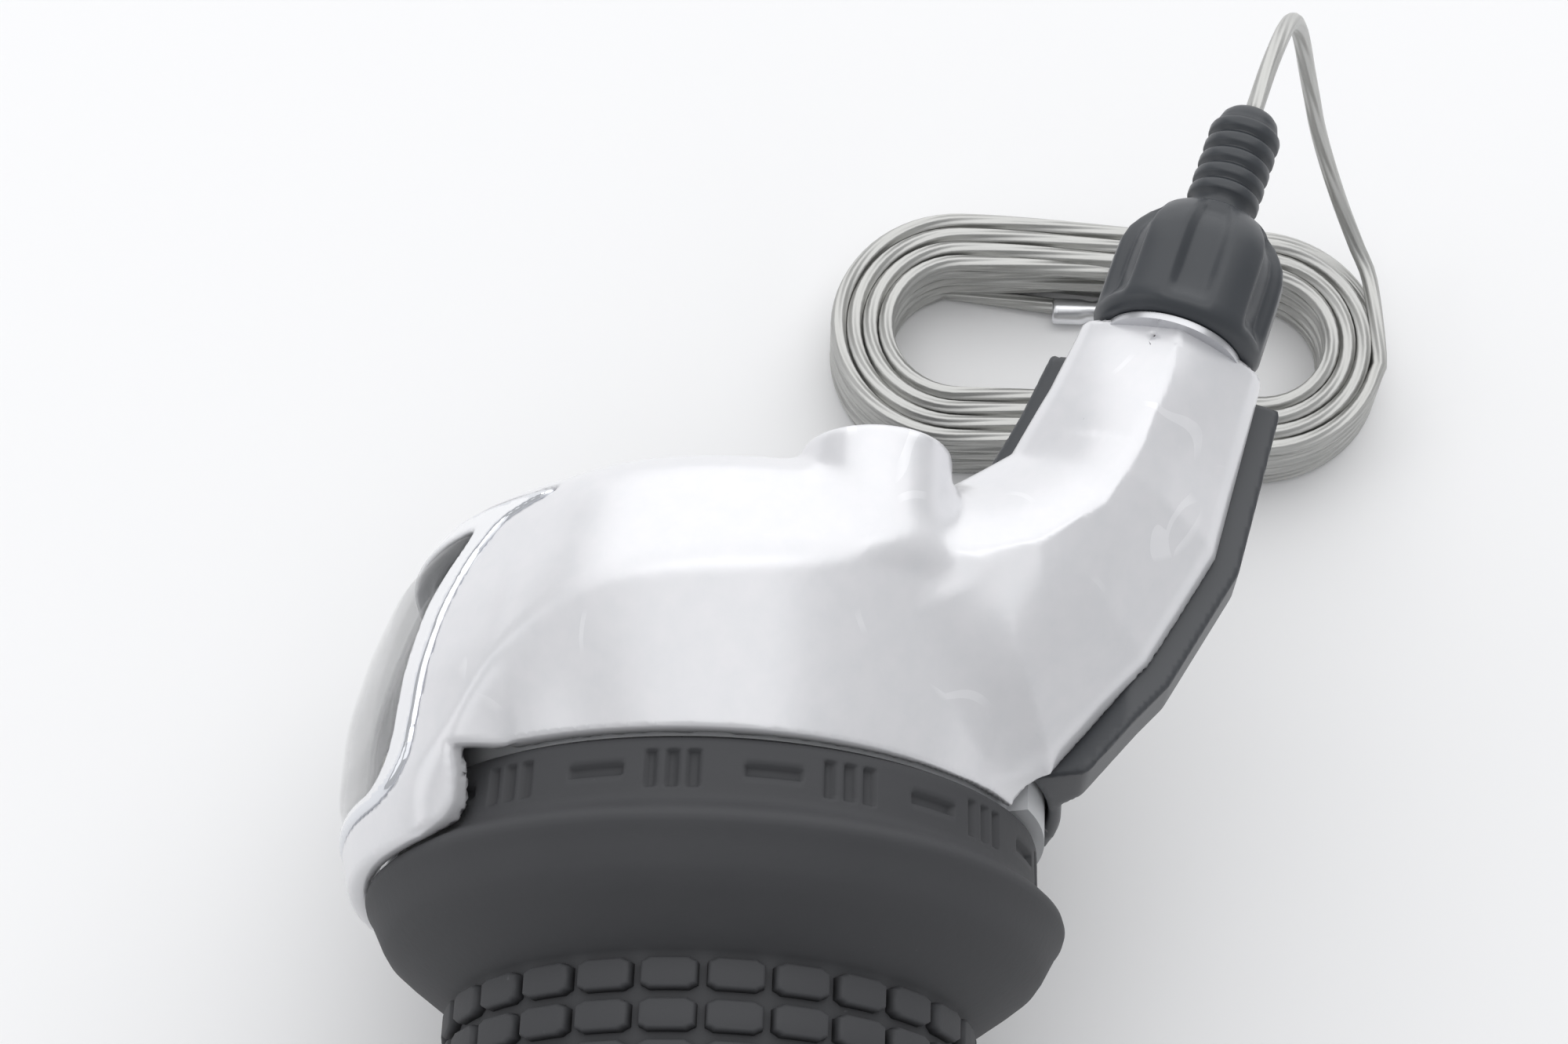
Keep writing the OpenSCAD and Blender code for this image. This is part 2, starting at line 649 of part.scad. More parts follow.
// Ribbed plug in the adjuster's casing seat, with the cable through it
module casing_plug() {
    u0 = knob_len + 0.15;
    pitch = (plug_len - 2.4) / plug_rings;
    ribs = [for (i = [0:plug_rings - 1]) let (u = u0 + 1.2 + i * pitch)
        each [[plug_r - 0.35, u], [plug_r, u + 0.25],
              [plug_r, u + pitch - 0.45], [plug_r - 0.35, u + pitch - 0.2]]];
    color([0.27, 0.3, 0.34]) along_exit() rotate_extrude() polygon(concat(
        [[cable_bore_r - 0.05, knob_len - socket_len + 0.2],
         [socket_r - run_gap, knob_len - socket_len + 0.2],
         [socket_r - run_gap, u0], [plug_r - 0.35, u0]],
        ribs,
        [[plug_r - 0.35, knob_len + plug_len - 0.9], [plug_r - 0.5, knob_len + plug_len - 0.35],
         [plug_r - 0.9, knob_len + plug_len], [cable_bore_r - 0.05, knob_len + plug_len]]));
}

// Fluted knob of the barrel adjuster
module adjuster_knob() {
    color([0.29, 0.32, 0.36]) along_exit() difference() {
        rotate_extrude() polygon([[thread_r, 0], [knob_r - 0.8, 0], [knob_r, 0.8], [knob_r, knob_len - 3.6],
            [knob_r - 0.5, knob_len - 2], [knob_r - 1.4, knob_len - 0.7], [knob_r - 2.4, knob_len],
            [socket_r, knob_len], [socket_r, knob_len - socket_len], [thread_r, knob_len - socket_len]]);
        for (a = [0:360 / knob_flutes:359]) rotate(a) translate([knob_r + 0.9, 0, 1.2])
            rotate([0, -4, 0]) cylinder(r = 1.6, h = knob_len);
    }
}

// Threaded barrel inside the knob and the insert
module adjuster_barrel() {
    color([0.7, 0.7, 0.72]) along_exit(-barrel_in) difference() {
        cylinder(r = thread_r, h = barrel_in + knob_len - socket_len);
        translate([0, 0, -1]) cylinder(r = cable_bore_r, h = barrel_in + knob_len);
    }
}

bracket_body();
top_cover();
indicator_bezel();
indicator_lens();
dial_plate();
retainer_ring();
cover_screws();
clamp_bolt();
clamp_nut();
cable_guide();
detent_spring();
detent_spring_screw();
adjuster_insert();
adjuster_click_washer();
inner_cable_run();
inner_cable_free();
inner_cable_coil();
cable_end_cap();
grip_sleeve();
grip_rubber();
cable_drum();
detent_ring();
cable_head();
thrust_washer();
grip_end_washer();
indicator_pointer();
pointer_pin();
casing_plug();
adjuster_knob();
adjuster_barrel();
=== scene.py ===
import logging
import math
from dataclasses import dataclass, field
from enum import Enum
from typing import Callable

import bpy
import numpy as np
from mathutils import Matrix


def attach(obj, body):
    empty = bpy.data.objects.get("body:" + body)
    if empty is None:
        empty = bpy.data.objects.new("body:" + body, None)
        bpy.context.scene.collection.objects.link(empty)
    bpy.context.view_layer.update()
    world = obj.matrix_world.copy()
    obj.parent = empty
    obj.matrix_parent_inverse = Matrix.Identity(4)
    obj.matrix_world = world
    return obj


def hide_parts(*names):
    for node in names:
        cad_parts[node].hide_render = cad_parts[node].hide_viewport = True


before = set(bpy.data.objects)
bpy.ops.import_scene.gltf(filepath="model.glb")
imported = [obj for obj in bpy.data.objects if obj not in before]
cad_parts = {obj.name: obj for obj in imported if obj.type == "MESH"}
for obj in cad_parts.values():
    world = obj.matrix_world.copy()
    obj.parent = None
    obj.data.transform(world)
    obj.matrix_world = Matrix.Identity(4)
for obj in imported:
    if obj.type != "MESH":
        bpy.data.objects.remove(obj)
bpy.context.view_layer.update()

LOG = logging.getLogger("twist_shifter")
MM = 0.001
Array = np.ndarray
Field = Callable[[Array, Array, Array], Array]
Colour = tuple[float, float, float, float] | bpy.types.NodeSocket


class Body(Enum):
    """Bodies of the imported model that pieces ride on."""

    HOUSING = "housing"
    GRIP = "grip"
    POINTER = "pointer"
    CASING_SEAT = "casing_seat"
    ADJUSTER = "adjuster"


class Slot(Enum):
    """Material slots of the record."""

    BLACK = "black_plastic"
    SILVER = "silver_cover"
    BEZEL = "bezel_silver"
    LENS = "smoked_lens"
    DIAL = "dial_print"
    GREY = "grey_plastic"
    SCREW = "screw_steel"
    BOLT = "bolt_steel"
    WHITE = "white_plastic"
    SPRING = "spring_steel"
    BRASS = "insert_brass"
    CABLE = "cable_steel"
    CAP = "cap_aluminium"
    RUBBER = "grip_rubber"
    CREAM = "pointer_cream"
    ADJUSTER = "adjuster_plastic"


# ---------------------------------------------------------------------------
# Small tools for shapes; every length in them is in millimetres
# ---------------------------------------------------------------------------


def curve_through(knots: list[tuple[float, float]], at: Array) -> Array:
    """A smooth curve through knots, without overshoot between them.

    Args:
        knots: Pairs of place and value, in rising order of place.
        at: Places to read the curve at.

    Returns:
        The curve's values, held constant outside the knots.
    """
    x, y = np.array(knots, float).T
    step = np.diff(x)
    slope = np.diff(y) / step
    tangent = np.zeros_like(x)
    same = slope[1:] * slope[:-1] > 0
    mean = 2 * slope[1:] * slope[:-1] / np.where(same, slope[1:] + slope[:-1], 1)
    tangent[1:-1] = np.where(same, mean, 0)
    tangent[0], tangent[-1] = slope[0], slope[-1]
    place = np.clip(at, x[0], x[-1])
    i = np.clip(np.searchsorted(x, place) - 1, 0, len(x) - 2)
    h = step[i]
    t = (place - x[i]) / h
    return (
        (1 + 2 * t) * (1 - t) ** 2 * y[i]
        + t * (1 - t) ** 2 * h * tangent[i]
        + t * t * (3 - 2 * t) * y[i + 1]
        + t * t * (t - 1) * h * tangent[i + 1]
    )


def soft_min(a: Array, b: Array, radius: float) -> Array:
    """The smaller of two fields, rounded where they meet.

    Args:
        a: One field.
        b: The other field.
        radius: How wide the rounding is.

    Returns:
        The joined field.
    """
    h = np.clip(0.5 + 0.5 * (b - a) / radius, 0, 1)
    return b + (a - b) * h - radius * h * (1 - h)


def soft_max(a: Array, b: Array, radius: float) -> Array:
    """The larger of two fields, rounded where they meet.

    Args:
        a: One field.
        b: The other field.
        radius: How wide the rounding is.

    Returns:
        The cut field.
    """
    return -soft_min(-a, -b, radius)


def smooth_step(t: Array) -> Array:
    """A step from 0 to 1 with soft ends.

    Args:
        t: Where the step is taken, from 0 to 1.

    Returns:
        The step.
    """
    t = np.clip(t, 0, 1)
    return t * t * (3 - 2 * t)


def outline_distance(x: Array, y: Array, corners: list[tuple[float, float]]) -> Array:
    """Signed distance to a closed outline in plan, negative inside.

    Args:
        x: Places along X.
        y: Places along Y.
        corners: The outline's corners in order.

    Returns:
        The distance at each place.
    """
    best = np.full(np.broadcast(x, y).shape, 1e9)
    inside = np.ones(best.shape)
    for (ax, ay), (bx, by) in zip(corners, corners[1:] + corners[:1]):
        ex, ey = bx - ax, by - ay
        wx, wy = x - ax, y - ay
        t = np.clip((wx * ex + wy * ey) / (ex * ex + ey * ey), 0, 1)
        best = np.minimum(best, (wx - ex * t) ** 2 + (wy - ey * t) ** 2)
        above, below = y >= ay, y < by
        left = ex * wy > ey * wx
        crossing = (above & below & left) | (~above & ~below & ~left)
        inside = np.where(crossing, -inside, inside)
    return inside * np.sqrt(best)


def line_distance(x: Array, y: Array, points: list[tuple[float, float, float]]) -> tuple[Array, Array]:
    """Distance in plan to a line of points, and the line's height beside each place.

    Args:
        x: Places along X.
        y: Places along Y.
        points: The line's points, as X, Y and height.

    Returns:
        The distance, and the height.
    """
    best = np.full(np.broadcast(x, y).shape, 1e9)
    height = np.zeros(best.shape)
    for (ax, ay, az), (bx, by, bz) in zip(points, points[1:]):
        ex, ey = bx - ax, by - ay
        t = np.clip(((x - ax) * ex + (y - ay) * ey) / (ex * ex + ey * ey), 0, 1)
        d = np.hypot(x - ax - ex * t, y - ay - ey * t)
        height = np.where(d < best, az + (bz - az) * t, height)
        best = np.minimum(best, d)
    return best, height


@dataclass(frozen=True)
class Skin:
    """Turns a field that is negative inside a solid into a closed mesh of four-sided faces."""

    low: tuple[float, float, float]
    high: tuple[float, float, float]
    step: float = 0.32
    rounds: int = 3

    def mesh(self, solid: Field) -> tuple[Array, Array]:
        """Meshes the solid's surface.

        Args:
            solid: The field, in millimetres.

        Returns:
            The vertices and the faces.
        """
        axes = [np.arange(a, b + self.step, self.step) for a, b in zip(self.low, self.high)]
        grid = np.meshgrid(*axes, indexing="ij", sparse=True)
        value = np.broadcast_to(solid(*grid), tuple(len(a) for a in axes)).astype(float)
        inside = value < 0
        cells = tuple(n - 1 for n in value.shape)
        total = np.zeros(cells + (3,))
        count = np.zeros(cells)
        for axis in range(3):
            for first in (0, 1):
                for second in (0, 1):
                    self._edge_crossings(value, inside, axis, first, second, total, count)
        active = count > 0
        number = np.full(cells, -1)
        number[active] = np.arange(active.sum())
        base = np.stack(np.nonzero(active), 1)
        points = (base + total[active] / count[active][:, None]) * self.step + np.array(self.low)
        faces = self._faces(inside, number)
        return self._settle(points, solid), faces

    @staticmethod
    def _edge_crossings(
        value: Array, inside: Array, axis: int, first: int, second: int, total: Array, count: Array
    ) -> None:
        """Adds where the field changes sign on one of each cell's twelve edges.

        Args:
            value: The field on the grid.
            inside: Where it is negative.
            axis: The edge's direction.
            first: The edge's side across the next axis.
            second: Its side across the axis after that.
            total: Sums of the crossings, added to.
            count: Numbers of crossings, added to.
        """
        others = [(axis + 1) % 3, (axis + 2) % 3]
        near: list[slice] = [slice(None)] * 3
        near[others[0]] = slice(first, value.shape[others[0]] - 1 + first)
        near[others[1]] = slice(second, value.shape[others[1]] - 1 + second)
        far = list(near)
        near[axis], far[axis] = slice(0, -1), slice(1, None)
        a, b = value[tuple(near)], value[tuple(far)]
        cross = inside[tuple(near)] != inside[tuple(far)]
        t = np.where(cross, a / np.where(cross, a - b, 1), 0)
        total[..., axis] += t
        total[..., others[0]] += first * cross
        total[..., others[1]] += second * cross
        count += cross

    @staticmethod
    def _faces(inside: Array, number: Array) -> Array:
        """Joins the cells round each crossed grid edge into a face that looks outwards.

        Args:
            inside: Where the field is negative.
            number: Each active cell's vertex.

        Returns:
            The faces.
        """
        faces = []
        for axis in range(3):
            b, c = (axis + 1) % 3, (axis + 2) % 3
            near, far = [slice(1, -1)] * 3, [slice(1, -1)] * 3
            near[axis], far[axis] = slice(0, -1), slice(1, None)
            here, there = inside[tuple(near)], inside[tuple(far)]
            for turned in (False, True):
                place = np.stack(np.nonzero((here & ~there) if not turned else (~here & there)), 1)
                place[:, b] += 1
                place[:, c] += 1
                ring = []
                for db, dc in ((0, 0), (-1, 0), (-1, -1), (0, -1)):
                    cell = place.copy()
                    cell[:, b] += db
                    cell[:, c] += dc
                    ring.append(number[tuple(cell.T)])
                quad = np.stack(ring, 1)
                faces.append(quad[:, ::-1] if turned else quad)
        return np.concatenate(faces)

    def _settle(self, points: Array, solid: Field) -> Array:
        """Moves the vertices onto the surface, by no more than half a grid step each round.

        Args:
            points: The vertices, in millimetres.
            solid: The field, in millimetres.

        Returns:
            The moved vertices.
        """
        probe = self.step * 0.1
        for _ in range(self.rounds):
            here = solid(*points.T)
            slope = np.stack(
                [(solid(*(points + probe * np.eye(3)[k]).T) - here) / probe for k in range(3)], 1
            )
            size = (slope**2).sum(1)
            move = -(here / np.maximum(size, 0.05))[:, None] * slope
            length = np.linalg.norm(move, axis=1)
            points = points + move * np.minimum(1, self.step / 2 / np.maximum(length, 1e-9))[:, None]
        return points


def add_piece(name: str, points: Array, faces: list, body: Body, slot: Slot) -> bpy.types.Object:
    """Makes a piece from points in millimetres, with its place in its mesh.

    Args:
        name: The piece's name.
        points: Vertices in millimetres, in the row frame.
        faces: Faces, as lists of vertex numbers.
        body: The body that it rides on.
        slot: Not used.

    Returns:
        The new object.
    """
    mesh = bpy.data.meshes.new(name)
    mesh.from_pydata((np.asarray(points) * MM).tolist(), [], [list(map(int, f)) for f in faces])
    mesh.validate()
    mesh.shade_smooth()
    mesh.update()
    piece = bpy.data.objects.new(name, mesh)
    bpy.context.scene.collection.objects.link(piece)
    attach(piece, body.value)
    LOG.info("%s: %d vertices, %d faces", name, len(mesh.vertices), len(mesh.polygons))
    return piece


def ring_mesh(rings: Array, closed_along: bool = False) -> tuple[Array, list]:
    """Joins rings of points into a closed surface.

    Args:
        rings: Points, with one row for each ring and the same number in each.
        closed_along: Whether the last ring joins the first; the ends are filled otherwise.

    Returns:
        The vertices and the faces.
    """
    m, n = rings.shape[:2]
    i, k = np.meshgrid(np.arange(m if closed_along else m - 1), np.arange(n), indexing="ij")
    a, b = i * n + k, i * n + (k + 1) % n
    c, d = ((i + 1) % m) * n + (k + 1) % n, ((i + 1) % m) * n + k
    faces = np.stack([a, b, c, d], -1).reshape(-1, 4).tolist()
    if not closed_along:
        faces.append(list(range(n))[::-1])
        faces.append(list(range((m - 1) * n, m * n)))
    return rings.reshape(-1, 3), faces


def turned_out(piece: bpy.types.Object) -> bpy.types.Object:
    """Turns the faces of a closed piece outwards, if its volume says that they point in.

    Args:
        piece: The piece.

    Returns:
        The same piece.
    """
    mesh = piece.data
    mesh.calc_loop_triangles()
    co = np.array([v.co for v in mesh.vertices])
    tri = co[np.array([t.vertices for t in mesh.loop_triangles])]
    volume = np.einsum("ij,ij->i", tri[:, 0], np.cross(tri[:, 1], tri[:, 2])).sum()
    if volume < 0:
        mesh.flip_normals()
    return piece


# ---------------------------------------------------------------------------
# Finishes
# ---------------------------------------------------------------------------


class Effects:
    """Shader node groups that several finishes share."""

    def __init__(self) -> None:
        """Builds each group once."""
        self.grain = self._grain()
        self.scuffs = self._scuffs()

    @staticmethod
    def _group(name: str, inputs: dict[str, float], outputs: dict[str, str]) -> bpy.types.NodeTree:
        """Makes an empty group with its sockets.

        Args:
            name: The group's name.
            inputs: Number inputs and what they start at.
            outputs: Outputs and their socket types.

        Returns:
            The group, with its input and output nodes.
        """
        tree = bpy.data.node_groups.new(name, "ShaderNodeTree")
        for title, start in inputs.items():
            socket = tree.interface.new_socket(title, in_out="INPUT", socket_type="NodeSocketFloat")
            socket.default_value = start
        for title, kind in outputs.items():
            tree.interface.new_socket(title, in_out="OUTPUT", socket_type=kind)
        tree.nodes.new("NodeGroupInput")
        tree.nodes.new("NodeGroupOutput")
        return tree

    def _grain(self) -> bpy.types.NodeTree:
        """Fine moulded or sprayed grain: Height for a bump, and Mottle for colour.

        Returns:
            The group.
        """
        tree = self._group(
            "surface_grain",
            {"Fine scale": 4000.0, "Broad scale": 180.0},
            {"Height": "NodeSocketFloat", "Mottle": "NodeSocketFloat"},
        )
        nodes, link = tree.nodes, tree.links.new
        given, result = nodes["Group Input"], nodes["Group Output"]
        place = nodes.new("ShaderNodeTexCoord")
        for title, output, detail in (("Fine scale", "Height", 3.0), ("Broad scale", "Mottle", 5.0)):
            noise = nodes.new("ShaderNodeTexNoise")
            noise.inputs["Detail"].default_value = detail
            noise.inputs["Roughness"].default_value = 0.6
            link(place.outputs["Object"], noise.inputs["Vector"])
            link(given.outputs[title], noise.inputs["Scale"])
            link(noise.outputs["Fac"], result.inputs[output])
        return tree

    def _scuffs(self) -> bpy.types.NodeTree:
        """Sparse hair scratches and dust specks, each as a mask.

        Returns:
            The group.
        """
        tree = self._group(
            "scuffs_and_dust",
            {"Scratch scale": 90.0, "Scratch width": 0.02, "Dust scale": 900.0, "Dust cover": 0.15},
            {"Scratches": "NodeSocketFloat", "Dust": "NodeSocketFloat"},
        )
        nodes, link = tree.nodes, tree.links.new
        given, result = nodes["Group Input"], nodes["Group Output"]
        place = nodes.new("ShaderNodeTexCoord")
        bend = nodes.new("ShaderNodeTexNoise")
        bend.inputs["Scale"].default_value = 60.0
        mixed = nodes.new("ShaderNodeMixRGB")
        mixed.inputs["Fac"].default_value = 0.02
        link(place.outputs["Object"], bend.inputs["Vector"])
        link(place.outputs["Object"], mixed.inputs["Color1"])
        link(bend.outputs["Color"], mixed.inputs["Color2"])
        cracks = nodes.new("ShaderNodeTexVoronoi")
        cracks.feature = "DISTANCE_TO_EDGE"
        link(mixed.outputs["Color"], cracks.inputs["Vector"])
        link(given.outputs["Scratch scale"], cracks.inputs["Scale"])
        thin = nodes.new("ShaderNodeMath")
        thin.operation = "LESS_THAN"
        link(cracks.outputs["Distance"], thin.inputs[0])
        link(given.outputs["Scratch width"], thin.inputs[1])
        patch = nodes.new("ShaderNodeTexNoise")
        patch.inputs["Scale"].default_value = 130.0
        patch.inputs["Detail"].default_value = 1.0
        link(place.outputs["Object"], patch.inputs["Vector"])
        rare = nodes.new("ShaderNodeMapRange")
        rare.inputs["From Min"].default_value = 0.60
        rare.inputs["From Max"].default_value = 0.64
        link(patch.outputs["Fac"], rare.inputs["Value"])
        scratch = nodes.new("ShaderNodeMath")
        scratch.operation = "MULTIPLY"
        link(thin.outputs["Value"], scratch.inputs[0])
        link(rare.outputs["Result"], scratch.inputs[1])
        link(scratch.outputs["Value"], result.inputs["Scratches"])
        speck = nodes.new("ShaderNodeTexNoise")
        speck.inputs["Detail"].default_value = 2.0
        link(place.outputs["Object"], speck.inputs["Vector"])
        link(given.outputs["Dust scale"], speck.inputs["Scale"])
        lift = nodes.new("ShaderNodeMath")
        lift.operation = "SUBTRACT"
        lift.inputs[0].default_value = 0.8
        link(given.outputs["Dust cover"], lift.inputs[1])
        over = nodes.new("ShaderNodeMath")
        over.operation = "SUBTRACT"
        link(speck.outputs["Fac"], over.inputs[0])
        link(lift.outputs["Value"], over.inputs[1])
        dust = nodes.new("ShaderNodeMath")
        dust.operation = "MULTIPLY"
        dust.use_clamp = True
        dust.inputs[1].default_value = 9.0
        link(over.outputs["Value"], dust.inputs[0])
        link(dust.outputs["Value"], result.inputs["Dust"])
        return tree


@dataclass(frozen=True)
class Finish:
    """One finish: its colours, gloss and small detail."""

    name: str
    colour: tuple[float, float, float]
    mottled: tuple[float, float, float]
    roughness: float = 0.5
    metallic: float = 0.0
    coat: float = 0.0
    coat_roughness: float = 0.1
    alpha: float = 1.0
    specular: float = 0.5
    bump: float = 0.1
    bump_depth: float = 0.02
    fine_scale: float = 4000.0
    broad_scale: float = 180.0
    dust: float = 0.0
    dust_colour: tuple[float, float, float] = (0.5, 0.5, 0.5)
    scratches: float = 0.0
    scratch_colour: tuple[float, float, float] = (0.85, 0.85, 0.88)
    strands: float = 0.0

    def build(self, effects: Effects) -> bpy.types.Material:
        """Makes the finish's material.

        Args:
            effects: The shared shader node groups.

        Returns:
            The material.
        """
        material = bpy.data.materials.new(self.name)
        material.use_nodes = True
        nodes, link = material.node_tree.nodes, material.node_tree.links.new
        shader = nodes["Principled BSDF"]
        shader.inputs["Metallic"].default_value = self.metallic
        shader.inputs["Coat Weight"].default_value = self.coat
        shader.inputs["Coat Roughness"].default_value = self.coat_roughness
        shader.inputs["Specular IOR Level"].default_value = self.specular
        shader.inputs["Alpha"].default_value = self.alpha
        grain = nodes.new("ShaderNodeGroup")
        grain.node_tree = effects.grain
        grain.inputs["Fine scale"].default_value = self.fine_scale
        grain.inputs["Broad scale"].default_value = self.broad_scale
        marks = nodes.new("ShaderNodeGroup")
        marks.node_tree = effects.scuffs
        marks.inputs["Dust cover"].default_value = self.dust
        colour = self._mix(nodes, link, grain.outputs["Mottle"], (*self.colour, 1), (*self.mottled, 1))
        if self.scratches > 0:
            share = self._scaled(nodes, link, marks.outputs["Scratches"], self.scratches)
            colour = self._mix(nodes, link, share, colour, (*self.scratch_colour, 1))
        if self.dust > 0:
            share = self._scaled(nodes, link, marks.outputs["Dust"], 0.6)
            colour = self._mix(nodes, link, share, colour, (*self.dust_colour, 1))
        link(colour, shader.inputs["Base Color"])
        rough = nodes.new("ShaderNodeMapRange")
        rough.inputs["To Min"].default_value = self.roughness * 0.85
        rough.inputs["To Max"].default_value = min(1.0, self.roughness * 1.15)
        link(grain.outputs["Mottle"], rough.inputs["Value"])
        link(rough.outputs["Result"], shader.inputs["Roughness"])
        bump = nodes.new("ShaderNodeBump")
        bump.inputs["Strength"].default_value = self.bump
        bump.inputs["Distance"].default_value = self.bump_depth * MM
        height = grain.outputs["Height"]
        if self.strands > 0:
            height = self._strand_height(nodes, link)
        link(height, bump.inputs["Height"])
        link(bump.outputs["Normal"], shader.inputs["Normal"])
        return material

    @staticmethod
    def _mix(
        nodes: bpy.types.Nodes, link: Callable, share: bpy.types.NodeSocket,
        first: Colour, second: Colour,
    ) -> bpy.types.NodeSocket:
        """Mixes two colours, either of which may be a socket, by a share from a socket.

        Args:
            nodes: The material's nodes.
            link: What joins two sockets.
            share: Socket with the share of the second colour.
            first: The first colour or number.
            second: The second colour or number.

        Returns:
            The mixed colour.
        """
        mix = nodes.new("ShaderNodeMixRGB")
        link(share, mix.inputs["Fac"])
        for socket, value in (("Color1", first), ("Color2", second)):
            if isinstance(value, tuple):
                mix.inputs[socket].default_value = value
            else:
                link(value, mix.inputs[socket])
        return mix.outputs["Color"]

    @staticmethod
    def _scaled(
        nodes: bpy.types.Nodes, link: Callable, mask: bpy.types.NodeSocket, amount: float
    ) -> bpy.types.NodeSocket:
        """A mask times an amount.

        Args:
            nodes: The material's nodes.
            link: What joins two sockets.
            mask: Socket with the mask.
            amount: What the mask is multiplied by.

        Returns:
            The scaled mask.
        """
        times = nodes.new("ShaderNodeMath")
        times.operation = "MULTIPLY"
        times.inputs[1].default_value = amount
        link(mask, times.inputs[0])
        return times.outputs["Value"]

    def _strand_height(self, nodes: bpy.types.Nodes, link: Callable) -> bpy.types.NodeSocket:
        """Ridges of twisted strands, from the piece's own UV map.

        Args:
            nodes: The material's nodes.
            link: What joins two sockets.

        Returns:
            The height for a bump.
        """
        uv = nodes.new("ShaderNodeTexCoord")
        split = nodes.new("ShaderNodeSeparateXYZ")
        link(uv.outputs["UV"], split.inputs["Vector"])
        round_it = nodes.new("ShaderNodeMath")
        round_it.operation = "MULTIPLY_ADD"
        round_it.inputs[1].default_value = self.strands
        link(split.outputs["Y"], round_it.inputs[0])
        link(split.outputs["X"], round_it.inputs[2])
        turn = nodes.new("ShaderNodeMath")
        turn.operation = "MULTIPLY"
        turn.inputs[1].default_value = math.tau
        link(round_it.outputs["Value"], turn.inputs[0])
        wave = nodes.new("ShaderNodeMath")
        wave.operation = "SINE"
        link(turn.outputs["Value"], wave.inputs[0])
        return wave.outputs["Value"]


class Finishes:
    """All finishes, built once, by name of material slot."""

    def __init__(self) -> None:
        """Builds the shared effects and the material of each slot."""
        effects = Effects()
        recipes = {
            Slot.SILVER: Finish(
                "silver_paint", (0.70, 0.71, 0.73), (0.78, 0.77, 0.79), roughness=0.30, metallic=0.35,
                coat=0.45, coat_roughness=0.22, bump=0.05, fine_scale=2600, broad_scale=700,
                scratches=0.35, scratch_colour=(0.93, 0.93, 0.95)),
            Slot.BEZEL: Finish(
                "bezel_paint", (0.80, 0.81, 0.83), (0.86, 0.86, 0.88), roughness=0.25, metallic=0.3,
                coat=0.8, bump=0.03),
            Slot.LENS: Finish(
                "smoked_window", (0.03, 0.035, 0.04), (0.035, 0.04, 0.045), roughness=0.04, alpha=0.3,
                specular=0.9, coat=1.0, coat_roughness=0.02, bump=0.0),
            Slot.DIAL: Finish(
                "dial_print", (0.040, 0.043, 0.050), (0.05, 0.053, 0.06), roughness=0.5, bump=0.05),
            Slot.BLACK: Finish(
                "black_nylon", (0.045, 0.048, 0.054), (0.062, 0.066, 0.072), roughness=0.42, bump=0.22,
                fine_scale=3000, dust=0.06),
            Slot.ADJUSTER: Finish(
                "adjuster_nylon", (0.028, 0.032, 0.038), (0.042, 0.047, 0.054), roughness=0.36, bump=0.16,
                fine_scale=2600, dust=0.03),
            Slot.RUBBER: Finish(
                "grip_rubber", (0.035, 0.036, 0.040), (0.055, 0.056, 0.060), roughness=0.72, bump=0.45,
                bump_depth=0.05, fine_scale=1500, broad_scale=120, dust=0.03,
                dust_colour=(0.22, 0.22, 0.23)),
            Slot.GREY: Finish(
                "grey_acetal", (0.52, 0.53, 0.55), (0.58, 0.59, 0.60), roughness=0.45, bump=0.1),
            Slot.WHITE: Finish(
                "white_acetal", (0.74, 0.74, 0.71), (0.80, 0.80, 0.76), roughness=0.4, bump=0.08),
            Slot.CREAM: Finish(
                "pointer_cream", (0.90, 0.87, 0.78), (0.95, 0.92, 0.84), roughness=0.5, bump=0.05),
            Slot.SCREW: Finish(
                "screw_zinc", (0.60, 0.60, 0.61), (0.68, 0.68, 0.68), roughness=0.32, metallic=1.0,
                bump=0.12, fine_scale=2500, scratches=0.3),
            Slot.BOLT: Finish(
                "bolt_black_oxide", (0.16, 0.16, 0.17), (0.24, 0.24, 0.25), roughness=0.38, metallic=1.0,
                bump=0.15, fine_scale=2000, scratches=0.4),
            Slot.SPRING: Finish(
                "spring_steel", (0.55, 0.56, 0.58), (0.63, 0.63, 0.65), roughness=0.28, metallic=1.0,
                bump=0.08),
            Slot.BRASS: Finish(
                "turned_brass", (0.66, 0.50, 0.24), (0.74, 0.58, 0.31), roughness=0.3, metallic=1.0,
                bump=0.1),
            Slot.CABLE: Finish(
                "cable_strands", (0.46, 0.46, 0.45), (0.56, 0.56, 0.54), roughness=0.45, metallic=0.8,
                bump=0.5, bump_depth=0.1, strands=6.0),
            Slot.CAP: Finish(
                "cap_aluminium", (0.74, 0.75, 0.77), (0.82, 0.82, 0.84), roughness=0.33, metallic=1.0,
                bump=0.12, scratches=0.4),
        }
        self.of_slot = {slot: recipe.build(effects) for slot, recipe in recipes.items()}
        self.chrome = Finish(
            "chrome_line", (0.72, 0.74, 0.78), (0.80, 0.81, 0.84), roughness=0.08, metallic=1.0, bump=0.0
        ).build(effects)

    def dress(self, piece: bpy.types.Object, slot: Slot) -> None:
        """Gives a piece the finish of a slot, in place of what it has.

        Args:
            piece: The piece.
            slot: The record's material slot.
        """
        piece.data.materials.clear()
        piece.data.materials.append(self.of_slot[slot])


# ---------------------------------------------------------------------------
# Sub-assemblies
# ---------------------------------------------------------------------------


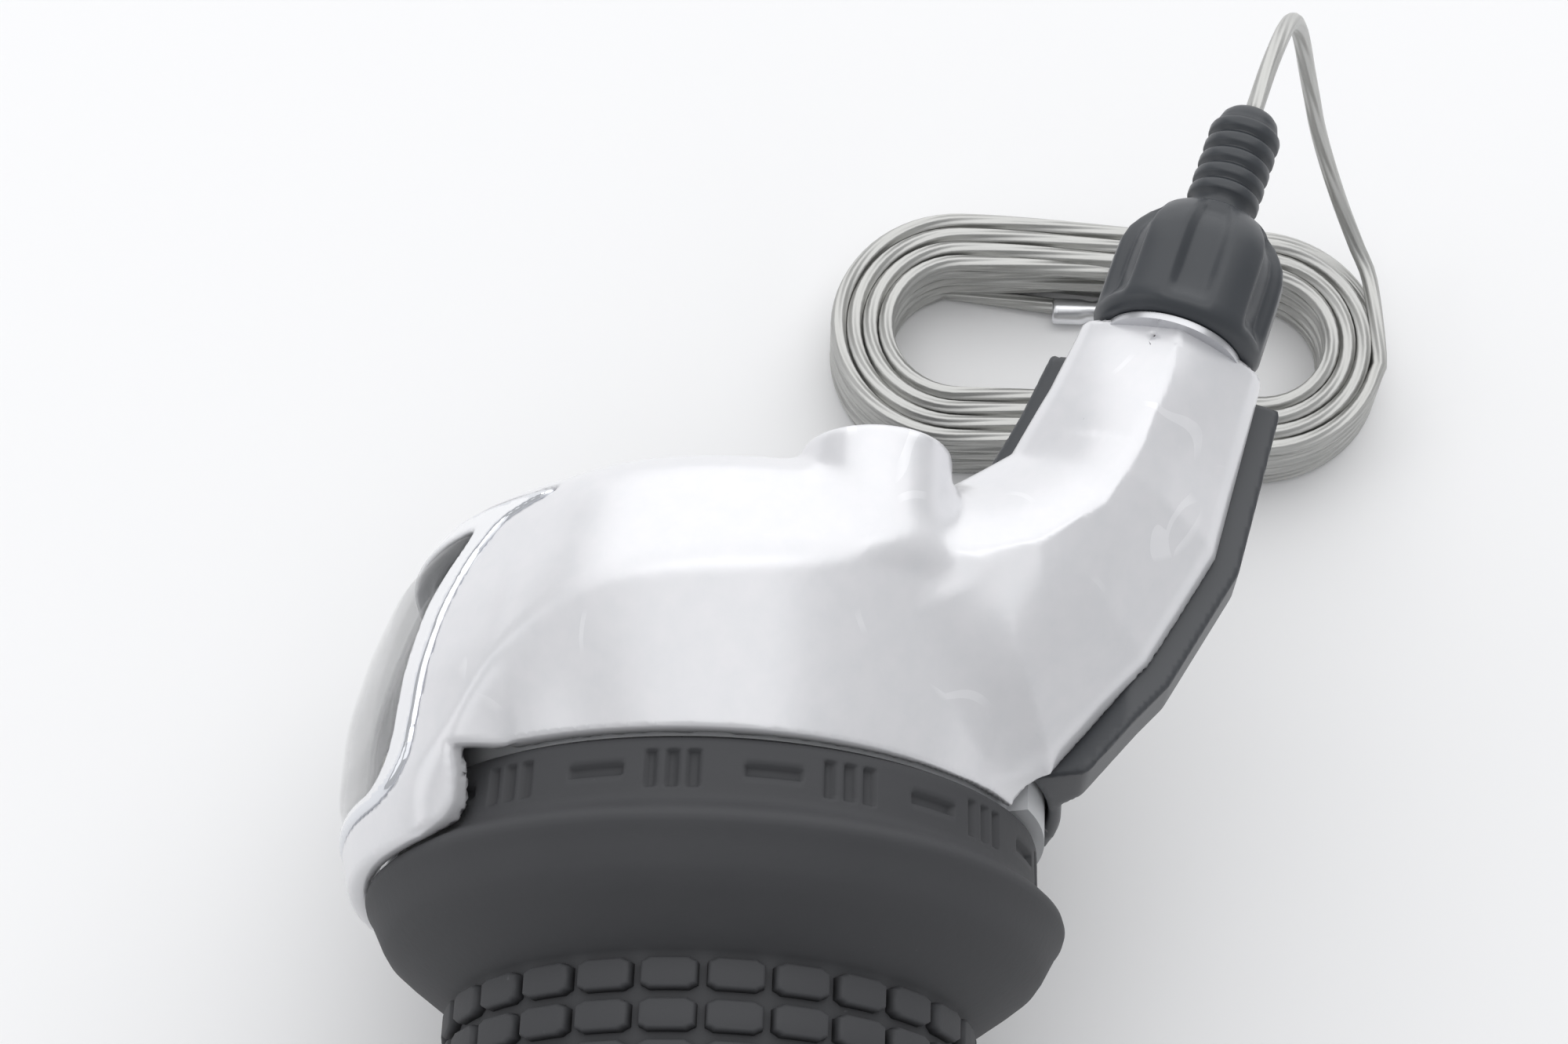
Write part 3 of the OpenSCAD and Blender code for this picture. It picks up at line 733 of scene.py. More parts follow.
@dataclass
class ExitLine:
    """The straight line on which the cable, plug and knob leave the housing."""

    foot: tuple[float, float, float] = (-35.4, 28.3, 15.0)
    angle: float = 17.15

    @property
    def along(self) -> Array:
        """Unit direction from the foot outwards.

        Returns:
            The direction.
        """
        turn = math.radians(self.angle)
        return np.array([-math.cos(turn), math.sin(turn), 0.0])

    @property
    def across(self) -> Array:
        """Unit direction across the line, level.

        Returns:
            The direction.
        """
        return np.cross(self.along, [0, 0, 1.0])

    def place(self, u: Array, r: Array, turn: Array) -> Array:
        """Points round the line.

        Args:
            u: Distance along the line from the foot.
            r: Distance from the line.
            turn: Angle round it, in radians, from straight up.

        Returns:
            The points in the row frame.
        """
        out = np.cos(turn)[..., None] * np.array([0, 0, 1.0]) + np.sin(turn)[..., None] * self.across
        return np.array(self.foot) + u[..., None] * self.along + r[..., None] * out


@dataclass
class Housing:
    """Silver cover, black lower shell, bezel, window and dial print."""

    exit: ExitLine
    wall: float = 1.5
    back_x: float = -26.2
    front_x: float = -5.7
    front_bore_r: float = 20.1
    front_bore_x: float = -9.0
    bar_bore_end_x: float = -20.0
    insert_hole_r: float = 3.1
    insert_hole_deep: float = 8.0
    bar_clear_r: float = 13.0
    part_tilt: float = 22.8
    part_z: float = 0.7
    neck_part_z: float = 11.5
    base_bulge: float = 1.7
    base_deep: float = 5.2
    ring_clear_r: float = 21.45
    ring_room_x: float = -9.6
    post_r: float = 2.9
    post_foot_z: float = 3.4
    fin_front: float = 7.9
    hub_bore: float = 11.2
    screw_spots: tuple = ((-13.0, 21.4), (-27.0, 30.6))
    # Clamp block: half sizes, then its centre in X and Z, its bolt and its slit
    block_half: tuple[float, float, float] = (2.5, 8.5, 6.1)
    block_centre: tuple[float, float] = (-23.45, -15.1)
    bolt_z: float = -16.75
    bolt_hole_r: float = 2.15
    head_seat_r: float = 3.8
    nut_seat_r: float = 4.6
    slit_half: float = 0.6
    # Hub round the handlebar, by the middle of its wall and of its length
    hub_r: float = 11.95
    hub_half_wall: float = 0.7
    hub_x: float = -16.25
    hub_half_len: float = 9.8
    boss_centre: tuple[float, float] = (9.3, 17.3)
    boss_r: float = 4.8
    lens_low: float = -14.0
    lens_x: tuple[float, float] = (-21.5, -4.4)
    bezel_low: float = -19.5
    bezel_x: tuple[float, float] = (-23.3, -3.3)
    seam: float = 0.06
    chrome_wide: float = 0.42
    chrome_deep: float = 0.3
    surface_r: float = 24.0
    # Place of the crest along X, by angle from the top; forward is positive
    crest: list = field(default_factory=lambda: [
        (-180, -2.5), (-62, -2.8), (-50, -3.6), (-43, -5.8), (-37, -9.0), (-31.7, -11.5), (-22.8, -13.9),
        (-13.2, -15.2), (9.3, -16.4), (33.8, -18.8), (60, -20.5), (180, -20.5)])
    # Slope of the front face down from the crest, by the same angle
    front_slope: list = field(default_factory=lambda: [
        (-180, 0.32), (-60, 0.35), (-50, 0.42), (-45, 0.6), (-37, 0.72), (-31.7, 0.50), (-22.8, 0.36),
        (-13, 0.31),
        (9, 0.28), (34, 0.25), (180, 0.25)])
    crest_r: list = field(default_factory=lambda: [
        (-180, 24.4), (-60, 24.4), (-38, 24.1), (-20, 24.05), (180, 24.05)])
    # Fall of the inboard side, as radius by X
    back: list = field(default_factory=lambda: [
        (-27.5, 8.0), (-26.3, 13.0), (-25.6, 16.3), (-24.5, 18.7), (-23, 20.35), (-19.3, 22.0), (-14.2, 23.6),
        (-10, 24.3), (-3, 24.4), (4, 24.4)])
    # Room left for the turning rubber, as radius by X
    rim_clear: list = field(default_factory=lambda: [
        (-7, 21.15), (-1.9, 21.2), (-1.2, 21.8), (-0.6, 22.4), (0.2, 22.85)])
    # The lower shell's radius by X
    belly: list = field(default_factory=lambda: [
        (-27.2, 11.0), (-26.2, 15.5), (-24.4, 19.6), (-22.5, 21.5), (-20.5, 22.3), (-17.0, 22.4),
        (-9.0, 22.3), (-7.0, 22.2)])
    front_edge: list = field(default_factory=lambda: [
        (-180, -0.6), (-61, -0.5), (-52, -0.7), (-47.5, -1.3), (-44.8, -2.3), (-43.2, -4.0), (-42.2, -5.7),
        (180, -5.7)])
    neck_plan: list = field(default_factory=lambda: [
        (-7.6, 17.0), (-7.9, 20.9), (-14.5, 26.9), (-22.0, 31.2), (-33.1, 34.0), (-40.7, 36.3), (-44.3, 24.6),
        (-36.7, 22.3),
        (-32.6, 20.4), (-28.4, 18.0), (-25.8, 13.5), (-22.0, 8.0), (-12.0, 8.0)])
    neck_ridge: list = field(default_factory=lambda: [
        (-36.0, 28.7, 18.9), (-34.2, 28.2, 18.9), (-26.5, 26.0, 19.7), (-22.2, 23.6, 20.1),
        (-19.4, 19.2, 20.2), (-18.4, 13.0, 20.2), (-17.0, 6.0, 20.0)])
    neck_edge: list = field(default_factory=lambda: [
        (-37.0, 15.6), (-32.5, 15.0), (-26.0, 13.2), (-20.0, 13.0), (-12.0, 12.0), (-7.0, 10.6)])

    def angle(self, y: Array, z: Array) -> Array:
        """Angle round the bar from the top, in degrees, forward positive.

        Args:
            y: Place along Y.
            z: Place along Z.

        Returns:
            The angle.
        """
        return np.degrees(np.arctan2(y, z))

    def body_radius(self, x: Array, turn: Array) -> Array:
        """Radius of the main body, with its crest.

        Args:
            x: Place along X.
            turn: Angle from the top.

        Returns:
            The radius.
        """
        crest = curve_through(self.crest, turn)
        top = curve_through(self.crest_r, turn)
        front = top - curve_through(self.front_slope, turn) * (x - crest)
        back = top + curve_through(self.back, x) - curve_through(self.back, crest)
        return soft_min(front, back, 0.7)

    def body(self, x: Array, y: Array, z: Array, inset: float = 0.0) -> Array:
        """Field of the main body, shrunk by an inset.

        Args:
            x: Place along X, in millimetres.
            y: Place along Y.
            z: Place along Z.
            inset: How far the form is shrunk.

        Returns:
            The field.
        """
        turn = self.angle(y, z)
        round_part = np.hypot(y, z) - self.body_radius(x, turn) + inset
        return soft_max(round_part * 0.93, self.back_x + inset - x, 1.2)

    def neck(self, x: Array, y: Array, z: Array, grow: float = 0.0) -> Array:
        """Field of the neck with its ridge and facets, grown by a distance.

        Args:
            x: Place along X, in millimetres.
            y: Place along Y.
            z: Place along Z.
            grow: How far the form is grown.

        Returns:
            The field.
        """
        plan = outline_distance(x, y, self.neck_plan) - grow
        side, ridge_z = line_distance(x, y, self.neck_ridge)
        end = (np.array(self.exit.foot) - 0.12 * self.exit.along)[:2]
        past_end = (x - end[0]) * self.exit.along[0] + (y - end[1]) * self.exit.along[1] - min(grow, 0)
        roof = (z - (ridge_z - 0.42 * side)) * 0.9 - grow
        facet = (z - (curve_through(self.neck_edge, x) - 1.05 * np.minimum(plan + grow, 0.0))) * 0.69 - grow
        top = soft_max(roof, facet, 1.4)
        return soft_max(soft_max(plan, top, 0.9), past_end + max(-grow, 0), 0.2)

    def boss(self, x: Array, y: Array, z: Array, inset: float = 0.0) -> Array:
        """Field of the half-round boss on the inboard side.

        Args:
            x: Place along X, in millimetres.
            y: Place along Y.
            z: Place along Z.
            inset: How far the form is shrunk.

        Returns:
            The field.
        """
        y0, z0 = self.boss_centre
        barrel = np.hypot(y - y0, z - z0) - self.boss_r + inset
        return soft_max(soft_max(barrel, self.back_x + 0.1 + inset - x, 0.7), x + 17.6, 1.6)

    def outside(self, x: Array, y: Array, z: Array) -> Array:
        """Field of the cover's whole outer form.

        Args:
            x: Place along X, in millimetres.
            y: Place along Y.
            z: Place along Z.

        Returns:
            The field.
        """
        body = soft_min(self.body(x, y, z), self.neck(x, y, z), 2.6)
        return soft_min(body, self.boss(x, y, z), 1.3)

    def inside(self, x: Array, y: Array, z: Array) -> Array:
        """Field of the room inside the cover.

        Args:
            x: Place along X, in millimetres.
            y: Place along Y.
            z: Place along Z.

        Returns:
            The field.
        """
        room = np.minimum(self.body(x, y, z, self.wall), self.neck(x, y, z, -self.wall))
        return np.minimum(room, self.boss(x, y, z, self.wall))

    def above_joint(self, x: Array, y: Array, z: Array) -> Array:
        """Field that is negative above the joint between cover and lower shell.

        Args:
            x: Place along X, in millimetres.
            y: Place along Y.
            z: Place along Z.

        Returns:
            The field.
        """
        tilt = math.radians(self.part_tilt)
        plane = math.sin(tilt) * y - math.cos(tilt) * (z - self.part_z)
        return np.minimum(plane, self.neck_part_z - z)

    def window_frame(self, x: Array, y: Array, z: Array) -> Array:
        """Field over the surface that is negative inside the bezel's outline.

        Args:
            x: Place along X, in millimetres.
            y: Place along Y.
            z: Place along Z.

        Returns:
            The field.
        """
        rise = np.where(y > 0, 90.0, np.degrees(np.arctan2(z, -y)))
        scale = math.radians(self.surface_r)
        top = curve_through([(-23.6, 66), (-22.8, 60.5), (-22.2, 54.4), (-21.3, 48.6), (-18.6, 44.0),
                             (-14.5, 41.8), (-10.1, 40.9), (-6.0, 39.5), (-3.0, 37.0)], x)
        upper = (rise - top) * scale * 0.75
        lower = (self.bezel_low - rise) * scale
        sides = soft_max(self.bezel_x[0] - x, x - self.bezel_x[1], 0.1)
        return soft_max(soft_max(upper, lower, 1.5), sides, 3.2)

    def window_opening(self, x: Array, y: Array, z: Array) -> Array:
        """Field over the surface that is negative inside the lens's outline.

        Args:
            x: Place along X, in millimetres.
            y: Place along Y.
            z: Place along Z.

        Returns:
            The field.
        """
        rise = np.where(y > 0, 90.0, np.degrees(np.arctan2(z, -y)))
        scale = math.radians(self.surface_r)
        top = curve_through([(-22.0, 43.5), (-20.6, 40.8), (-18.2, 38.1), (-15.7, 36.5), (-10.3, 35.6),
                             (-7.2, 34.6), (-4.0, 31.0)], x)
        upper = (rise - top) * scale
        lower = (self.lens_low - rise) * scale
        sides = soft_max(self.lens_x[0] - x, x - self.lens_x[1], 0.1)
        return soft_max(soft_max(upper, lower, 1.2), sides, 2.0)

    def ahead_of_edge(self, x: Array, turn: Array) -> Array:
        """Distance ahead of the cover's front edge, measured square to it.

        Args:
            x: Place along X.
            turn: Angle from the top.

        Returns:
            The distance, negative behind the edge.
        """
        edge = curve_through(self.front_edge, turn)
        lean = (curve_through(self.front_edge, turn + 0.2) - curve_through(self.front_edge, turn - 0.2)) / 0.4
        return (x - edge) / np.sqrt(1 + (lean / math.radians(self.surface_r)) ** 2)

    def cover_solid(self, x: Array, y: Array, z: Array) -> Array:
        """Field of the cover's shell.

        Args:
            x: Place along X, in millimetres.
            y: Place along Y.
            z: Place along Z.

        Returns:
            The field.
        """
        radius = np.hypot(y, z)
        turn = self.angle(y, z)
        front = self.ahead_of_edge(x, turn)
        room = self.inside(x, y, z)
        mouth = soft_max(radius - self.front_bore_r, self.front_bore_x - x, 0.2)
        rim_room = np.maximum(radius - curve_through(self.rim_clear, x), self.front_x - 0.25 - x)
        bar = np.maximum(radius - self.bar_clear_r, x - self.bar_bore_end_x)
        u = (x - self.exit.foot[0]) * self.exit.along[0] + (y - self.exit.foot[1]) * self.exit.along[1]
        v = (x - self.exit.foot[0]) * self.exit.across[0] + (y - self.exit.foot[1]) * self.exit.across[1]
        hole = np.hypot(v, z - self.exit.foot[2]) - self.insert_hole_r
        hole = np.maximum(hole, -self.insert_hole_deep - u)
        empty = np.minimum(np.minimum(np.minimum(room, mouth), np.minimum(rim_room, bar)), hole)
        shell = soft_max(self.outside(x, y, z), front, 0.35)
        shell = soft_max(shell, self.above_joint(x, y, z), 0.3)
        shell = soft_max(shell, -empty, 0.25)
        return soft_max(shell, -(self.window_frame(x, y, z) - self.seam), 0.2)

    def base_solid(self, x: Array, y: Array, z: Array) -> Array:
        """Field of the lower shell: its skin, hub, clamp block and screw posts.

        Args:
            x: Place along X, in millimetres.
            y: Place along Y.
            z: Place along Z.

        Returns:
            The field.
        """
        radius = np.hypot(y, z)
        round_part = (radius - curve_through(self.belly, x)) * 0.93
        round_part = soft_max(round_part, self.back_x + 0.15 - x, 0.5)
        above = self.above_joint(x, y, z)
        floor = above - self.base_deep
        form = soft_min(round_part, soft_max(self.neck(x, y, z, self.base_bulge), floor, 1.2), 1.6)
        ring_room = np.maximum(radius - self.ring_clear_r, self.ring_room_x - x)
        room = np.maximum(round_part + self.wall, self.back_x + self.wall - x)
        room = np.minimum(room, np.maximum(self.neck(x, y, z, -0.8), floor + self.wall))
        shell = soft_max(soft_max(form, -room, 0.25), -ring_room, 0.2)
        shell = soft_max(shell, x + self.fin_front, 0.25)
        for sx, sy in self.screw_spots:
            post = np.maximum(np.hypot(x - sx, y - sy) - self.post_r, self.post_foot_z - z)
            shell = soft_min(shell, np.maximum(post, form), 0.5)
        bx, by, bz = self.block_half
        cx, cz = self.block_centre
        block = np.maximum(np.abs(y) - by, np.abs(z - cz) - bz)
        block = np.maximum(np.abs(x - cx) - bx, block)
        shell = soft_min(shell, block, 0.8)
        shell = soft_max(shell, -(above - 0.08), 0.25)
        hub = np.maximum(
            np.abs(radius - self.hub_r) - self.hub_half_wall, np.abs(x - self.hub_x) - self.hub_half_len)
        solid = soft_min(shell, hub, 0.4)
        slit = np.maximum(np.abs(y) - self.slit_half, z + 1.0)
        bolt = np.hypot(x - cx, z - self.bolt_z)
        head_seat = np.maximum(bolt - self.head_seat_r, y + by)
        cuts = np.minimum(np.minimum(slit, bolt - self.bolt_hole_r), head_seat)
        cuts = np.minimum(cuts, np.maximum(bolt - self.nut_seat_r, by - y))
        return soft_max(soft_max(solid, -cuts, 0.25), self.hub_bore - radius, 0.2)

    def bezel_solid(self, x: Array, y: Array, z: Array) -> Array:
        """Field of the bezel, which stands a little proud of the cover.

        Args:
            x: Place along X, in millimetres.
            y: Place along Y.
            z: Place along Z.

        Returns:
            The field.
        """
        body = self.body(x, y, z)
        skin = soft_max(body - 0.18, -(body + self.wall), 0.3)
        shell = soft_max(skin, self.window_frame(x, y, z), 0.35)
        return soft_max(shell, -(self.window_opening(x, y, z) - self.seam), 0.3)

    def lens_solid(self, x: Array, y: Array, z: Array) -> Array:
        """Field of the window's lens, crowned in the middle.

        Args:
            x: Place along X, in millimetres.
            y: Place along Y.
            z: Place along Z.

        Returns:
            The field.
        """
        body = self.body(x, y, z)
        opening = self.window_opening(x, y, z)
        crown = 0.45 * smooth_step(-opening / 2.5)
        skin = soft_max(body - crown, -(body + 1.1), 0.2)
        return soft_max(skin, opening + self.seam, 0.25)

    def build(self, finishes: Finishes) -> None:
        """Builds and dresses the housing's pieces.

        Args:
            finishes: The finishes.
        """
        cover = Skin((-38.5, -26, -11), (1.5, 36.5, 25.5), 0.34).mesh(self.cover_solid)
        piece = turned_out(add_piece("cover_shell", *cover, Body.HOUSING, Slot.SILVER))
        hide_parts("top_cover")
        finishes.dress(piece, Slot.SILVER)
        rider = ((-25.5, -26.5, -12.5), (-1.5, -7, 24))
        bezel = turned_out(
            add_piece("bezel_frame", *Skin(*rider, 0.24).mesh(self.bezel_solid), Body.HOUSING, Slot.BEZEL))
        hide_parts("indicator_bezel")
        finishes.dress(bezel, Slot.BEZEL)
        self.chrome_edge(bezel, finishes)
        lens = turned_out(
            add_piece("window_lens", *Skin(*rider, 0.3).mesh(self.lens_solid), Body.HOUSING, Slot.LENS))
        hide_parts("indicator_lens")
        finishes.dress(lens, Slot.LENS)
        self.base(finishes)
        DialPrint().build(finishes)

    def base(self, finishes: Finishes) -> None:
        """Builds the lower shell with its hub and clamp block.

        Args:
            finishes: The finishes.
        """
        skin = Skin((-40, -23.7, -23.7), (-5.5, 38.5, 13.7), 0.36).mesh(self.base_solid)
        piece = turned_out(add_piece("lower_shell", *skin, Body.HOUSING, Slot.BLACK))
        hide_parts("bracket_body")
        finishes.dress(piece, Slot.BLACK)

    def chrome_edge(self, bezel: bpy.types.Object, finishes: Finishes) -> None:
        """Gives the faces along the bezel's outer edge the chrome finish.

        Args:
            bezel: The bezel.
            finishes: The finishes.
        """
        bezel.data.materials.append(finishes.chrome)
        for face in bezel.data.polygons:
            x, y, z = (np.array([c / MM]) for c in face.center)
            in_strip = self.window_frame(x, y, z)[0] > -self.chrome_wide
            if in_strip and self.body(x, y, z)[0] > -self.chrome_deep:
                face.material_index = 1


@dataclass
class DialPrint:
    """Gear numbers and tick marks printed on the dial, seen through the lens."""

    radius: float = 21.35
    slope: float = 0.198
    edge_x: float = -5.3
    first_x: float = -7.2
    pitch: float = 1.6
    gears: int = 7
    digit_size: float = 1.5
    digit_rise: float = -8.5
    tick_rise: float = 31.5
    tick_len: float = 1.3
    tick_wide: float = 0.3

    def wrapped(self, points: Array) -> Array:
        """Lays flat points of X and rise in millimetres on the dial.

        Args:
            points: Rows of X, rise round the bar and height over the dial.

        Returns:
            The points in the row frame.
        """
        r = self.radius + self.slope * (points[:, 0] - self.edge_x) + points[:, 2]
        rise = points[:, 1] / self.radius
        return np.stack([points[:, 0], -r * np.cos(rise), r * np.sin(rise)], 1)

    def build(self, finishes: Finishes) -> None:
        """Prints the numbers, from the top gear outboard to the first, and the ticks.

        Args:
            finishes: The finishes.
        """
        for k in range(self.gears):
            x = self.first_x - k * self.pitch
            self.digit(str(self.gears - k), x, finishes)
        self.ticks(finishes)

    def digit(self, word: str, x: float, finishes: Finishes) -> None:
        """Makes one printed number on the dial.

        Args:
            word: The number to print.
            x: Place along X, in millimetres.
            finishes: The finishes.
        """
        curve = bpy.data.curves.new(f"number_{word}", "FONT")
        curve.body = word
        curve.size = self.digit_size
        curve.align_x = "CENTER"
        curve.align_y = "CENTER"
        holder = bpy.data.objects.new(f"number_{word}", curve)
        bpy.context.scene.collection.objects.link(holder)
        bpy.context.view_layer.update()
        flat = bpy.data.meshes.new_from_object(holder.evaluated_get(bpy.context.evaluated_depsgraph_get()))
        points = np.array([v.co for v in flat.vertices])
        faces = [list(p.vertices) for p in flat.polygons]
        bpy.data.objects.remove(holder)
        low = math.radians(self.digit_rise) * self.radius
        plane = np.stack([x + points[:, 0], low + points[:, 1], np.full(len(points), 0.03)], 1)
        piece = add_piece(f"dial_number_{word}", self.wrapped(plane), faces, Body.HOUSING, Slot.CREAM)
        finishes.dress(piece, Slot.CREAM)

    def ticks(self, finishes: Finishes) -> None:
        """Makes the row of ticks over the numbers.

        Args:
            finishes: The finishes.
        """
        low = math.radians(self.tick_rise) * self.radius
        points, faces = [], []
        for k in range(self.gears):
            x = self.first_x - k * self.pitch
            start = len(points)
            for step in range(4):
                rise = low - self.tick_len * (0.5 - step / 3)
                points += [(x - self.tick_wide / 2, rise, 0.03), (x + self.tick_wide / 2, rise, 0.03)]
            faces += [[start + 2 * i + j for j in (0, 1, 3, 2)] for i in range(3)]
        piece = add_piece("dial_ticks", self.wrapped(np.array(points)), faces, Body.HOUSING, Slot.CREAM)
        finishes.dress(piece, Slot.CREAM)


@dataclass
class Grip:
    """The twist grip's rubber: collar, flared rim and rows of tiles."""

    end_x: float = 58.0
    bore: float = 13.25
    floor_r: float = 16.2
    flange_seat_r: float = 19.25
    flange_seat_x: float = -3.25
    columns: int = 720
    rows: int = 20
    tiles_round: int = 26
    first_row: float = 6.9
    row_pitch: float = 2.515
    tile_size: tuple[float, float, float] = (1.95, 3.45, 0.87)
    tile_sink: float = 0.12
    mark_depth: float = 0.42
    profile: list = field(default_factory=lambda: [
        (-5.6, 20.4), (-5.45, 20.62), (-5.2, 20.7), (-4.9, 20.72), (-4.76, 20.72), (-4.66, 20.72),
        (-4.4, 20.73), (-3.96, 20.74), (-3.84, 20.74), (-3.55, 20.75), (-3.26, 20.76), (-3.14, 20.76),
        (-2.7, 20.78), (-2.44, 20.78), (-2.34, 20.79), (-2.1, 20.8), (-1.8, 20.85), (-1.5, 21.0),
        (-1.1, 21.5),
        (-0.7, 22.1), (-0.35, 22.45), (0.0, 22.55), (0.35, 22.45), (0.7, 22.2), (1.6, 21.75), (2.4, 21.35),
        (3.0, 20.95), (3.8, 20.0), (4.6, 18.95), (5.4, 17.9), (5.9, 17.1), (6.3, 16.5), (6.6, 16.25),
        (7.0, 16.2), (20.0, 16.2), (40.0, 16.2), (56.6, 16.2), (56.9, 16.5), (57.1, 16.8), (57.7, 16.8),
        (57.9, 16.6), (58.0, 16.2)])

    def marks(self, x: Array, turn: Array) -> Array:
        """Depth of the sunken chevrons and dashes round the collar, from 0 to 1.

        Args:
            x: Place along the bar.
            turn: Angle round the bar, in radians.

        Returns:
            The share of the full depth.
        """
        across = np.abs(x + 3.55)
        step = math.tau * 20.7 / 12
        local = (turn * 20.7) % step
        bars = np.min([np.abs(local - at) for at in (1.0, 2.3, 3.6)], axis=0) - 0.32
        dash = np.maximum(np.abs(local - 7.0) - 1.7, across - 0.34)
        shape = np.minimum(np.maximum(bars, across - 1.15), dash)
        return 1 - smooth_step(shape / 0.16 + 0.5)

    def build(self, finishes: Finishes) -> None:
        """Builds the rubber and its tiles.

        Args:
            finishes: The finishes.
        """
        turn = np.arange(self.columns) / self.columns * math.tau
        rings = []
        for x, r in self.profile:
            sunk = self.mark_depth * self.marks(np.full(self.columns, x), turn) if x < -2 else 0.0
            rings.append(self.ring(x, r - sunk, turn))
        for x, r in ((self.end_x, self.bore), (self.flange_seat_x, self.bore),
                     (self.flange_seat_x, self.flange_seat_r), (self.profile[0][0], self.flange_seat_r)):
            rings.append(self.ring(x, np.full(self.columns, r), turn))
        points, faces = ring_mesh(np.array(rings), closed_along=True)
        piece = turned_out(add_piece("rubber_sleeve", points, faces, Body.GRIP, Slot.RUBBER))
        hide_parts("grip_rubber")
        finishes.dress(piece, Slot.RUBBER)
        self.tiles(finishes)

    def ring(self, x: float, r: Array, turn: Array) -> Array:
        """One ring of points round the bar.

        Args:
            x: Place along X, in millimetres.
            r: Radius at each angle.
            turn: Angles, in radians.

        Returns:
            The points.
        """
        return np.stack([np.full(len(turn), x), r * np.cos(turn), r * np.sin(turn)], 1)

    def tile_shape(self) -> bpy.types.Object:
        """Makes one rounded tile, lying on the XY plane, in metres.

        Returns:
            The tile.
        """
        long, wide, high = (s * MM for s in self.tile_size)
        levels = [(0.0, 1.0), (0.72, 0.98), (0.93, 0.90), (1.0, 0.78)]
        corners = [(-1, -1), (-0.7, -1), (0.7, -1), (1, -1), (1, -0.7), (1, 0.7), (1, 1), (0.7, 1),
                   (-0.7, 1), (-1, 1), (-1, 0.7), (-1, -0.7)]
        points = []
        for level, share in levels:
            for cx, cy in corners:
                trim = 0.84 if abs(cx) == abs(cy) else 1.0
                half_long = long / 2 * share * trim
                half_wide = wide / 2 * (1 - (1 - share) * long / wide) * trim
                points.append((cx * half_long, cy * half_wide, high * level))
        n = len(corners)
        faces = [[a * n + k, a * n + (k + 1) % n, (a + 1) * n + (k + 1) % n, (a + 1) * n + k]
                 for a in range(len(levels) - 1) for k in range(n)]
        faces += [list(range(n))[::-1], list(range((len(levels) - 1) * n, len(levels) * n))]
        mesh = bpy.data.meshes.new("tile_shape")
        mesh.from_pydata(points, [], faces)
        mesh.shade_smooth()
        shape = bpy.data.objects.new("tile_shape", mesh)
        bpy.context.scene.collection.objects.link(shape)
        return shape

    def tile_group(self) -> bpy.types.NodeTree:
        """Builds the Geometry Nodes group that sets rows of tiles round the bar.

        Returns:
            The group.
        """
        group = bpy.data.node_groups.new("tile_rows", "GeometryNodeTree")
        ports = group.interface
        ports.new_socket("Geometry", in_out="OUTPUT", socket_type="NodeSocketGeometry")
        for label, kind in (("Tile", "NodeSocketObject"), ("Rows", "NodeSocketInt"),
                            ("Tiles Round", "NodeSocketInt"), ("First Row", "NodeSocketFloat"),
                            ("Row Pitch", "NodeSocketFloat"), ("Radius", "NodeSocketFloat"),
                            ("Seed", "NodeSocketInt"), ("Jitter", "NodeSocketFloat"),
                            ("Material", "NodeSocketMaterial")):
            ports.new_socket(label, in_out="INPUT", socket_type=kind)
        nodes, link = group.nodes, group.links.new
        inputs, output = nodes.new("NodeGroupInput"), nodes.new("NodeGroupOutput")

        def maths(operation: str, first: object, second: object) -> bpy.types.NodeSocket:
            """One Math node; numbers are set, and sockets are linked.

            Args:
                operation: The kind of sum.
                first: The first colour or number.
                second: The second colour or number.

            Returns:
                The result.
            """
            node = nodes.new("ShaderNodeMath")
            node.operation = operation
            for socket, value in zip(node.inputs, (first, second)):
                if isinstance(value, bpy.types.NodeSocket):
                    link(value, socket)
                else:
                    socket.default_value = value
            return node.outputs[0]

        total = maths("MULTIPLY", inputs.outputs["Rows"], inputs.outputs["Tiles Round"])
        cloud = nodes.new("GeometryNodeMeshLine")
        link(total, cloud.inputs["Count"])
        index = nodes.new("GeometryNodeInputIndex").outputs[0]
        row = maths("FLOOR", maths("DIVIDE", index, inputs.outputs["Tiles Round"]), 0.0)
        column = maths("SUBTRACT", index, maths("MULTIPLY", row, inputs.outputs["Tiles Round"]))
        turn = maths("MULTIPLY", maths("DIVIDE", column, inputs.outputs["Tiles Round"]), math.tau)
        chance = nodes.new("FunctionNodeRandomValue")
        chance.data_type = "FLOAT"
        chance.inputs["Min"].default_value = -1.0
        link(inputs.outputs["Seed"], chance.inputs["Seed"])
        wobble = maths("MULTIPLY", chance.outputs["Value"], inputs.outputs["Jitter"])
        x = maths("ADD", maths("ADD", inputs.outputs["First Row"],
                               maths("MULTIPLY", row, inputs.outputs["Row Pitch"])), wobble)
        place = nodes.new("ShaderNodeCombineXYZ")
        link(x, place.inputs[0])
        link(maths("MULTIPLY", maths("COSINE", turn, 0.0), inputs.outputs["Radius"]), place.inputs[1])
        link(maths("MULTIPLY", maths("SINE", turn, 0.0), inputs.outputs["Radius"]), place.inputs[2])
        put = nodes.new("GeometryNodeSetPosition")
        link(cloud.outputs["Mesh"], put.inputs["Geometry"])
        link(place.outputs[0], put.inputs["Position"])
        face = nodes.new("ShaderNodeCombineXYZ")
        link(maths("SUBTRACT", turn, math.pi / 2), face.inputs[0])
        shape = nodes.new("GeometryNodeObjectInfo")
        link(inputs.outputs["Tile"], shape.inputs["Object"])
        spread = nodes.new("GeometryNodeInstanceOnPoints")
        link(put.outputs[0], spread.inputs["Points"])
        link(shape.outputs["Geometry"], spread.inputs["Instance"])
        link(face.outputs[0], spread.inputs["Rotation"])
        real = nodes.new("GeometryNodeRealizeInstances")
        link(spread.outputs[0], real.inputs[0])
        paint = nodes.new("GeometryNodeSetMaterial")
